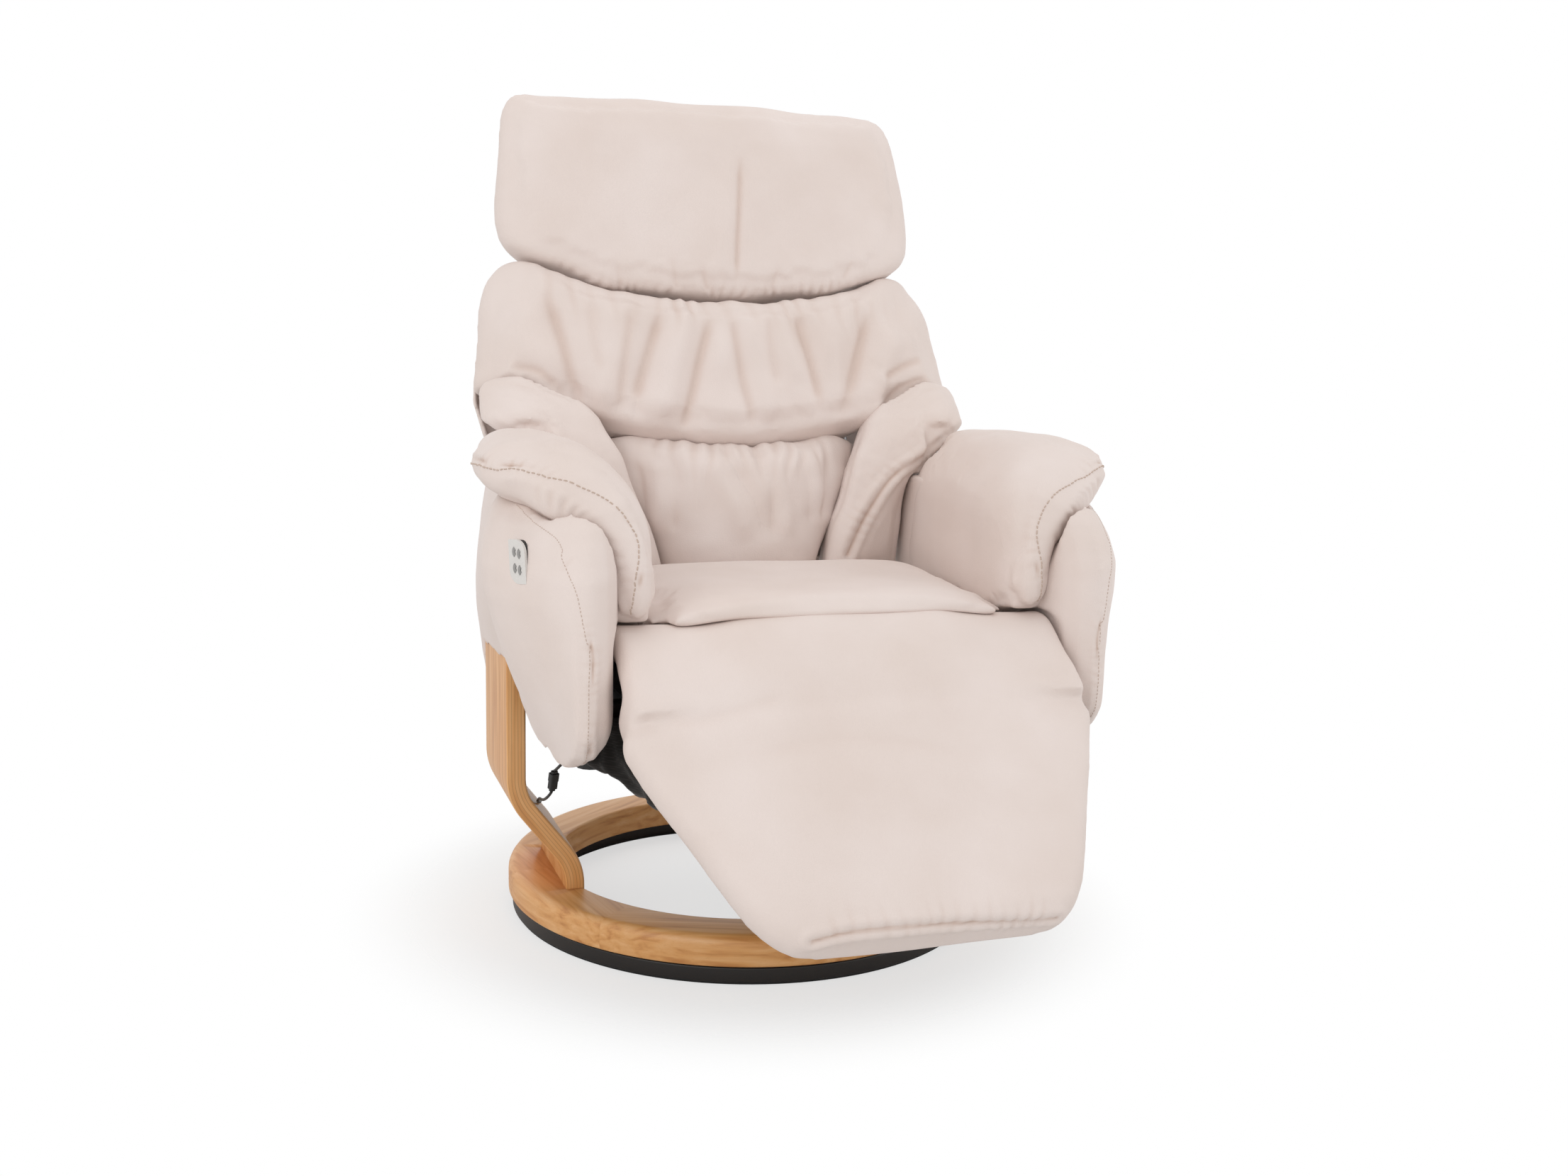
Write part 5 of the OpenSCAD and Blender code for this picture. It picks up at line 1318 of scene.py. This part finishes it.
# Base, lining and leads
@dataclass
class Ring:
    """A turned ring about the chair's axis, as a rounded profile, in millimetres."""

    name: str
    outer: float
    inner: float
    low: float
    high: float
    round_top: float
    round_small: float = 3.0
    steps: int = 192

    def profile(self) -> list[tuple[float, float]]:
        """Draws the section through the ring.

        Returns:
            Its points: distance from the axis and height.
        """
        out = []
        corners = [
            (self.inner, self.low, self.round_small, 180), (self.outer, self.low, self.round_small, 270),
            (self.outer, self.high, self.round_top, 0), (self.inner, self.high, self.round_small, 90),
        ]
        for x, z, r, start in corners:
            cx = x + r if x == self.inner else x - r
            cz = z + r if z == self.low else z - r
            for k in range(7):
                a = math.radians(start + 15 * k)
                out.append((cx + r * math.cos(a), cz + r * math.sin(a)))
        return out

    def draw(self) -> Piece:
        """Turns the section around the axis.

        Returns:
            The ring's object.
        """
        section = self.profile()
        angles = [2 * math.pi * i / self.steps for i in range(self.steps)]
        points = placed([(r * math.cos(a), r * math.sin(a), z) for a in angles for r, z in section])
        total = len(points)
        faces = [[v % total for v in face] for face in skin(self.steps + 1, len(section), capped=False)]
        return solid(self.name, points, faces)


@dataclass
class Base:
    """The black floor ring, the oak ring and the two bent legs."""

    oak: Ring = field(default_factory=lambda: Ring("oak_ring_turned", 320, 257, 24, 62, 13))
    black: Ring = field(default_factory=lambda: Ring("floor_ring_turned", 314.5, 280, 3, 22, 2.5, 1.5))
    segments: int = 6
    leg_half_w: float = 87.0
    leg_t: float = 24.0
    foot_x: float = 253.0
    top_x: float = 327.5
    base_z: float = 36.0
    bend_z: float = 66.0
    bend_r: float = 72.0
    slope: float = 38.0
    top_z: float = 470.0
    edge_r: float = 3.0
    notch_out: float = 265.0
    # How far round the ring's first glue joint lies, in radians
    joint_turn: float = 0.35

    def build(self) -> None:
        """Makes the rings and legs."""
        ring = self.oak.draw()
        for side in (-1, 1):
            self.notch(ring, side)
        self.lay_fibres(ring)
        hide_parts("oak_ring")
        finished(ring, Body.TURNTABLE, Slot.OAK, OAK_RING)
        black = self.black.draw()
        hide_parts("floor_ring")
        finished(black, Body.BASE, Slot.BLACK_STEEL)
        for side, sign in (("right", -1), ("left", 1)):
            self.leg(side, sign)

    def notch(self, ring: Piece, side: int) -> None:
        """Cuts the place for a leg's foot.

        Args:
            ring: The oak ring.
            side: -1 for the sitter's right, 1 for the left.
        """
        w, low = self.leg_half_w + 0.1, self.base_z
        box = placed(
            [
                (side * x, y, z)
                for x in (self.oak.inner - 40, self.notch_out)
                for y in (-w, w)
                for z in (low, self.oak.high + 20)
            ]
        )
        faces = [[0, 1, 3, 2], [4, 6, 7, 5], [0, 4, 5, 1], [2, 3, 7, 6], [0, 2, 6, 4], [1, 5, 7, 3]]
        if side < 0:
            faces = [f[::-1] for f in faces]
        cutter = solid("cutter", box, faces, smooth=False)
        modifier = ring.modifiers.new("notch", "BOOLEAN")
        modifier.operation = "DIFFERENCE"
        modifier.object = cutter
        modifier.solver = "EXACT"
        settle(ring)
        bpy.data.objects.remove(cutter)

    def lay_fibres(self, ring: Piece) -> None:
        """Gives each glued-up segment of the ring its own straight fibres.

        Args:
            ring: The ring's object.
        """
        mesh = ring.data
        made = mesh.attributes.new("fibre", "FLOAT_VECTOR", "CORNER")
        middle = axis_y()
        part = 2 * math.pi / self.segments
        values = np.zeros((len(mesh.loops), 3), np.float32)
        for face in mesh.polygons:
            at = math.atan2(face.center.y - middle, face.center.x)
            number = math.floor((at + self.joint_turn) / part)
            a = (number + 0.5) * part - self.joint_turn
            c, s = math.cos(a), math.sin(a)
            for loop in face.loop_indices:
                v = mesh.vertices[mesh.loops[loop].vertex_index].co
                x, y = v.x, v.y - middle
                values[loop] = (-s * x + c * y + number * 3.7, c * x + s * y, v.z + number * 0.31)
        made.data.foreach_set("vector", values.ravel())

    def line(self) -> list[tuple[float, float, float, float]]:
        """Draws the leg's middle line.

        Returns:
            Distance out, height, and the direction there.
        """
        tilt = math.radians(self.slope)
        out = [(self.foot_x, z, 0.0, 1.0) for z in np.linspace(self.base_z, self.bend_z, 4)[:-1]]
        for k in range(13):
            a = tilt * k / 12
            x, z = self.foot_x + self.bend_r * (1 - math.cos(a)), self.bend_z + self.bend_r * math.sin(a)
            out.append((x, z, math.sin(a), math.cos(a)))
        shift = self.bend_r * (1 - math.cos(tilt))
        straight = (self.top_x - self.foot_x - 2 * shift) / math.sin(tilt)
        x, z = out[-1][:2]
        for k in range(1, 7):
            far = straight * k / 6
            out.append((x + far * math.sin(tilt), z + far * math.cos(tilt), math.sin(tilt), math.cos(tilt)))
        x, z = out[-1][:2]
        for k in range(1, 13):
            a = tilt * (1 - k / 12)
            aside, rise = math.cos(a) - math.cos(tilt), math.sin(tilt) - math.sin(a)
            out.append((x + self.bend_r * aside, z + self.bend_r * rise, math.sin(a), math.cos(a)))
        z = out[-1][1]
        out += [(self.top_x, z + (self.top_z - z) * k / 8, 0.0, 1.0) for k in range(1, 9)]
        return out

    def leg(self, side: str, sign: int) -> None:
        """Makes one bent laminated leg with rounded edges.

        Args:
            side: right or left, as the sitter has it.
            sign: -1 or 1, the side of X.
        """
        r = self.edge_r
        t, w = self.leg_t / 2 - r, self.leg_half_w - r
        section = []
        for cx, cy, start in ((t, w, 0), (-t, w, 90), (-t, -w, 180), (t, -w, 270)):
            turns = [math.radians(start + 18 * k) for k in range(6)]
            section += [(cx + r * math.cos(a), cy + r * math.sin(a)) for a in turns]
        line = self.line()
        points, fibres = [], []
        done = 0.0
        for i, (x, z, sx, sz) in enumerate(line):
            if i:
                done += math.dist((x, z), line[i - 1][:2])
            for t, y in section:
                points.append((sign * (x + t * sz), y, z - t * sx))
                fibres.append((done * MM, y * MM, (t + 2) * MM))
        faces = skin(len(line), len(section), flip=sign < 0)
        leg = solid(f"leg_{side}_bent", placed(points), faces, {"fibre": np.array(fibres)})
        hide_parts(f"leg_{side}")
        finished(leg, Body.TURNTABLE, Slot.OAK, OAK_LEG)


@dataclass
class Lining:
    """The black cloth bag from the tray's front to the footrest's board, in soft folds."""

    # Distance ahead of the tray's front, half width, bottom and top
    rows: tuple[tuple[float, float, float, float], ...] = (
        (0, 283, 267, 292), (20, 266, 257, 325), (46, 249, 251, 338), (78, 238, 246, 340),
        (118, 229, 241, 336), (158, 221, 236, 340), (190, 214, 231, 340),
    )
    front_y: float = -263.0
    corner: float = 24.0
    thick: float = 0.9
    # Length of the flat cloth over the bag's own, for its folds
    fullness: float = 1.08

    def build(self) -> None:
        rows = spline(np.array(self.rows, float), 6)
        grid = []
        for d, w, low, high in rows:
            side = [(-w, high - (high - low - self.corner) * k / 7, low) for k in range(8)]
            bend = [
                (-w + self.corner * (1 - math.cos(a)), low + self.corner * (1 - math.sin(a)), low)
                for a in np.linspace(0, math.pi / 2, 6)[1:]
            ]
            half = side + bend
            flat = [(x, low, low) for x in np.linspace(-w + self.corner, w - self.corner, 40)[1:-1]]
            ring = half + flat + [(-x, z, b) for x, z, b in half[::-1]]
            grid.append([(x, self.front_y - d, z) for x, z, _ in ring])
        points = placed([p for ring in grid for p in ring])
        n, m = len(grid), len(grid[0])
        # The bag is open at the top, so the faces that would close it round are left out
        faces = [face for number, face in enumerate(skin(n, m, capped=False)) if (number + 1) % m]
        sheet = solid("lining_cloth_bag", points, faces)
        up = fetch(sheet.data.vertex_normals, "vector")
        share = np.repeat(np.linspace(0, 1, n), m)
        calm = smoothstep(np.minimum(share, 1 - share) * 6)
        slack = 3.4 * waves(points * (1.0, 0.55, 1.0), 42, 31) + 2.0 * waves(points, 22, 33)
        co = points + up * ((slack - 2.0) * calm * MM)[:, None]
        sheet.data.vertices.foreach_set("co", co.ravel())
        modifier = sheet.modifiers.new("thick", "SOLIDIFY")
        modifier.thickness = self.thick * MM
        modifier.offset = 0.0
        settle(sheet)
        sheet.data.polygons.foreach_set("use_smooth", [True] * len(sheet.data.polygons))
        sheet.data.materials.clear()
        sheet.data.materials.append(LINING.make())
        front, back = placed([(0, -453, 260), (0, -268, 300)])
        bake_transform(sheet)
        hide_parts("lining")


@dataclass
class Leads:
    """The low-voltage leads: a tail from the tray's gland, and the supply lead with its wound coil."""

    diameter: float = 3.5
    tail: tuple[Point, ...] = (
        (-292, -236, 274), (-295, -236, 272.6), (-298, -233, 269), (-300.3, -227, 264),
        (-301.6, -218, 258.6), (-302, -210, 254.6), (-302, -204, 252.2),
    )
    supply: tuple[Point, ...] = (
        (-304.2, -196, 224.6), (-305.6, -192, 220), (-307, -180, 212.6), (-307, -160, 204.4),
        (-305, -132, 196.6), (-301, -98, 187.6), (-296.4, -60, 173), (-287.6, -22, 160), (-278.8, 18, 148),
        (-271, 58, 138.6), (-266, 92, 128.6), (-262, 122, 113), (-256, 148, 94), (-249, 168, 76),
        (-242, 184, 66.4), (-238, 198, 64.3), (-237, 212, 63.8), (-239, 222, 58), (-241, 229, 44),
        (-242, 234, 26), (-240, 241, 9), (-234, 252, 2.6), (-222, 268, 1.9), (-200, 294, 1.9),
        (-170, 322, 1.9), (-132, 348, 1.9), (-94, 364, 1.9), (-58, 371, 1.9), (-25.6, 381.2, 1.9),
        (-1.34, 393.05, 1.9),
    )
    plug: tuple[Point, ...] = ((44, 415, 17.6), (65, 414, 15))
    coil_middle: tuple[float, float] = (12.0, 374.0)
    coil_r: float = 19.25
    coil_step: float = 4.12
    coil_turns: float = 9.8
    coil_rings: int = 20
    coil_start: float = 125.0

    def coil_point(self, t: float, k: int = 0) -> tuple[float, float, float]:
        """Places a point of the coil.

        Args:
            t: How many turns along.
            k: Steps past the wound part, where the lead leaves the coil.

        Returns:
            The point.
        """
        step = self.coil_step
        if t < 3:
            ring, height = step, step * t
        elif t < 3.3:
            ring, height = step * (1 - (t - 3) / 0.3), step * 3
        elif t < 6.3:
            ring, height = 0.0, step * (6.3 - t)
        elif t < 6.6:
            ring, height = -step * (t - 6.3) / 0.3, 0.0
        else:
            ring, height = -step, step * (t - 6.6)
        if k:
            ring, height = -step + k * k * 0.5, step * (self.coil_turns - 6.6) + min(k, 3) * 1.45
        a = math.radians(self.coil_start - 360 * t)
        r = self.coil_r + ring
        return (
            self.coil_middle[0] + r * math.cos(a), self.coil_middle[1] + r * math.sin(a),
            self.diameter / 2 + 0.15 + height,
        )

    def build(self) -> None:
        self.lead(
            "tail_lead_jacket", spline(placed(self.tail), 3), ["tail_lead"],
        )
        rings = self.coil_rings
        coil = [self.coil_point(i / rings) for i in range(int(self.coil_turns * rings) + 1)]
        coil += [self.coil_point(self.coil_turns + k / rings, k) for k in range(1, 7)]
        end = np.array(coil[-1])
        ahead = (end - np.array(coil[-2])) / np.linalg.norm(end - np.array(coil[-2]))
        tip = [tuple(end + 13 * ahead), *self.plug]
        whole = spline(placed([*self.supply, *coil, *tip]), 3)
        self.lead(
            "supply_lead_jacket", whole, ["supply_lead", "supply_coil", "plug_lead"],
        )

    def lead(
        self, name: str, path: np.ndarray, nodes: list[str]
    ) -> None:
        """Makes one lead.

        Args:
            name: The piece's name.
            path: Its middle line, in metres.
            nodes: The CAD nodes it stands for.
        """
        curve = bpy.data.curves.new(name, "CURVE")
        curve.dimensions = "3D"
        curve.bevel_depth = self.diameter / 2 * MM
        curve.bevel_resolution = 3
        curve.use_fill_caps = True
        line = curve.splines.new("POLY")
        line.points.add(len(path) - 1)
        line.points.foreach_set("co", np.hstack([path, np.ones((len(path), 1))]).astype(np.float32).ravel())
        piece = linked(name, curve)
        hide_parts(*nodes)
        finished(piece, Body.TURNTABLE, Slot.LEAD_RUBBER)


@dataclass
class Studio:
    """The camera at the photograph's angle, the floor and the soft lights."""

    eye: Point = (-0.6406, -1.9716, 0.7537)
    heading: tuple[float, float] = (0.3307, 0.9437)
    pitch: float = 8.875
    roll: float = 1.286
    lens: float = 35.805
    floor_r: float = 3.0
    floor_glow: float = 0.62
    # Distances from the turning axis at which the floor starts and ends its fade
    floor_fade: tuple[float, float] = (0.34, 0.56)
    ambient: float = 0.72
    # Name, place, size in metres and power in watts
    lamps: tuple[tuple[str, Point, float, float], ...] = (
        ("key", (-2.3, -1.9, 1.9), 2.2, 30),
        ("fill", (2.5, -1.0, 1.4), 2.2, 16),
        ("top", (0.2, 0.6, 3.2), 2.6, 14),
    )

    def camera(self) -> None:
        """Makes the camera."""
        data = bpy.data.cameras.new("camera")
        data.lens = self.lens
        data.sensor_width = 36.0
        piece = linked("camera", data)
        p, r = math.radians(self.pitch), math.radians(self.roll)
        hx, hy = self.heading
        ahead = Vector((hx * math.cos(p), hy * math.cos(p), -math.sin(p)))
        right = Vector((hy, -hx, 0))
        up = right.cross(ahead)
        across = right * math.cos(r) + up * math.sin(r)
        above = up * math.cos(r) - right * math.sin(r)
        turn = Matrix((across, above, -ahead)).transposed().to_4x4()
        x, y, z = self.eye
        piece.matrix_world = Matrix.Translation((x, y + axis_y(), z)) @ turn
        bpy.context.scene.camera = piece

    def lights(self) -> None:
        """Makes soft lamps and a white world for the camera."""
        scene = bpy.context.scene
        world = bpy.data.worlds.new("studio")
        world.use_nodes = True
        tree = world.node_tree
        shown = tree.nodes["Background"]
        connect(tree, shown, {"Color": (1, 1, 1, 1), "Strength": 1.0})
        soft = add(tree, "Background", {"Color": linear("F4F2F0"), "Strength": self.ambient})
        path = add(tree, "LightPath")
        one = add(
            tree, "Math", {0: path.outputs["Is Camera Ray"], 1: path.outputs["Is Glossy Ray"]},
            operation="MAXIMUM",
        )
        any_ray = add(tree, "Math", {0: one, 1: path.outputs["Is Transmission Ray"]}, operation="MAXIMUM")
        mix = add(tree, "MixShader", {0: any_ray, 1: soft, 2: shown})
        connect(tree, tree.nodes["World Output"], {"Surface": mix})
        scene.world = world
        aim = Vector((0, axis_y(), 0.55))
        for name, at, size, power in self.lamps:
            lamp = bpy.data.lights.new(name, "AREA")
            lamp.size = size
            lamp.energy = power
            piece = linked(name, lamp)
            piece.location = at
            piece.rotation_euler = (aim - Vector(at)).to_track_quat("-Z", "Y").to_euler()

    def floor(self) -> None:
        """Makes the pale floor, which fades to the white background away from the chair."""
        rings, sides = (0.6, 1.2, 2.0, self.floor_r), 96
        angles = [2 * math.pi * k / sides for k in range(sides)]
        points = [(r * math.cos(a), r * math.sin(a) + axis_y(), -0.0005) for r in rings for a in angles]
        faces = [list(range(sides)), *skin(len(rings), sides, flip=True, capped=False)]
        piece = solid("studio_floor", np.array(points), faces, smooth=False)
        material = bpy.data.materials.new("matt_white_floor_paint")
        material.use_nodes = True
        tree = material.node_tree
        tree.nodes.remove(tree.nodes["Principled BSDF"])
        paint = add(tree, "BsdfDiffuse", {"Color": linear("F2F2F2")})
        glow = add(tree, "Emission", {"Color": (1, 1, 1, 1), "Strength": 1.0})
        clear = add(tree, "BsdfTransparent")
        place = add(tree, "NewGeometry").outputs["Position"]
        split = add(tree, "VectorMath", {0: place, 1: (0.0, axis_y(), 0.0)}, operation="SUBTRACT")
        flat = add(tree, "VectorMath", {0: split, 1: (1.0, 1.0, 0.0)}, operation="MULTIPLY")
        far = add(tree, "VectorMath", {0: flat}, operation="LENGTH").outputs["Value"]
        start, end = self.floor_fade
        fade = add(
            tree, "MapRange", {"Value": far, "From Min": start, "From Max": end},
            interpolation_type="SMOOTHSTEP",
        )
        rays = add(tree, "LightPath")
        seen = add(tree, "Math", {0: rays.outputs["Is Camera Ray"], 1: fade}, operation="MULTIPLY")
        bright = add(
            tree, "Math", {0: rays.outputs["Is Camera Ray"], 1: self.floor_glow}, operation="MULTIPLY",
        )
        lit = add(tree, "MixShader", {0: bright, 1: paint, 2: glow})
        mix = add(tree, "MixShader", {0: seen, 1: lit, 2: clear})
        connect(tree, tree.nodes["Material Output"], {"Surface": mix})
        piece.data.materials.append(material)


def dress_frame(replaced: set[str]) -> None:
    """Gives every CAD node that stays its finish.

    Args:
        replaced: The nodes that other pieces stand for.
    """
    for part in frame["record"]["subparts"]:
        node = part["node"]
        if node in replaced:
            continue
        piece = frame["nodes"][node]
        material = FINISHES[Slot(part["material_slot"])].make()
        if not piece.material_slots:
            piece.data.materials.append(material)
        for place in piece.material_slots:
            place.link = "OBJECT"
            place.material = material
        log.info("%s keeps its solid", node)


def main() -> None:
    """Builds the chair piece by piece."""
    logging.basicConfig(level=logging.INFO, format="%(message)s")
    bpy.context.scene.view_settings.view_transform = "Standard"
    studio = Studio()
    studio.camera()
    Leads().build()
    studio.lights()
    studio.floor()
    Base().build()
    Lining().build()
    recipes = [*back_pieces(), *seat_pieces()]
    for side in ("right", "left"):
        recipes += [wing_piece(side), *arm_pieces(side)]
    made = {recipe.name: Upholstery(recipe).build() for recipe in recipes}
    for side, turn in (("right", list), ("left", mirrored)):
        sign = 1 if side == "right" else -1
        row = Stitching(turn(PAD_SEAM), offset=6.0 * sign, pitch=6.0, length=4.2, radius=0.8)
        row.draw(made[f"arm_pad_{side}_leather"], f"arm_pad_{side}_stitches", Body.TURNTABLE)
        row = Stitching(turn(PANEL_SEAM), offset=3.5 * sign, pitch=4.6, length=3.0, radius=0.4)
        row.draw(made[f"arm_{side}_leather"], f"arm_{side}_stitches", Body.TURNTABLE)
    replaced = {node for recipe in recipes for node in recipe.nodes}
    replaced |= {
        "oak_ring", "floor_ring", "leg_right", "leg_left", "lining", "tail_lead", "supply_lead",
        "supply_coil", "plug_lead",
    }
    dress_frame(replaced)


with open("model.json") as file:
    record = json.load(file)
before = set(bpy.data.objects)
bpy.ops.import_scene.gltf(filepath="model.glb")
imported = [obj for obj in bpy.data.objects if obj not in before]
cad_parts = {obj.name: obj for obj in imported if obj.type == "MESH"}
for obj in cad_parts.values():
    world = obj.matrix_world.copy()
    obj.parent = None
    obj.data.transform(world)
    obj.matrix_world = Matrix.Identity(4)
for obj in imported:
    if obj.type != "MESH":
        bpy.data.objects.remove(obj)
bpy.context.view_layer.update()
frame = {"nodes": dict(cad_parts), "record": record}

if __name__ == "__main__":
    main()
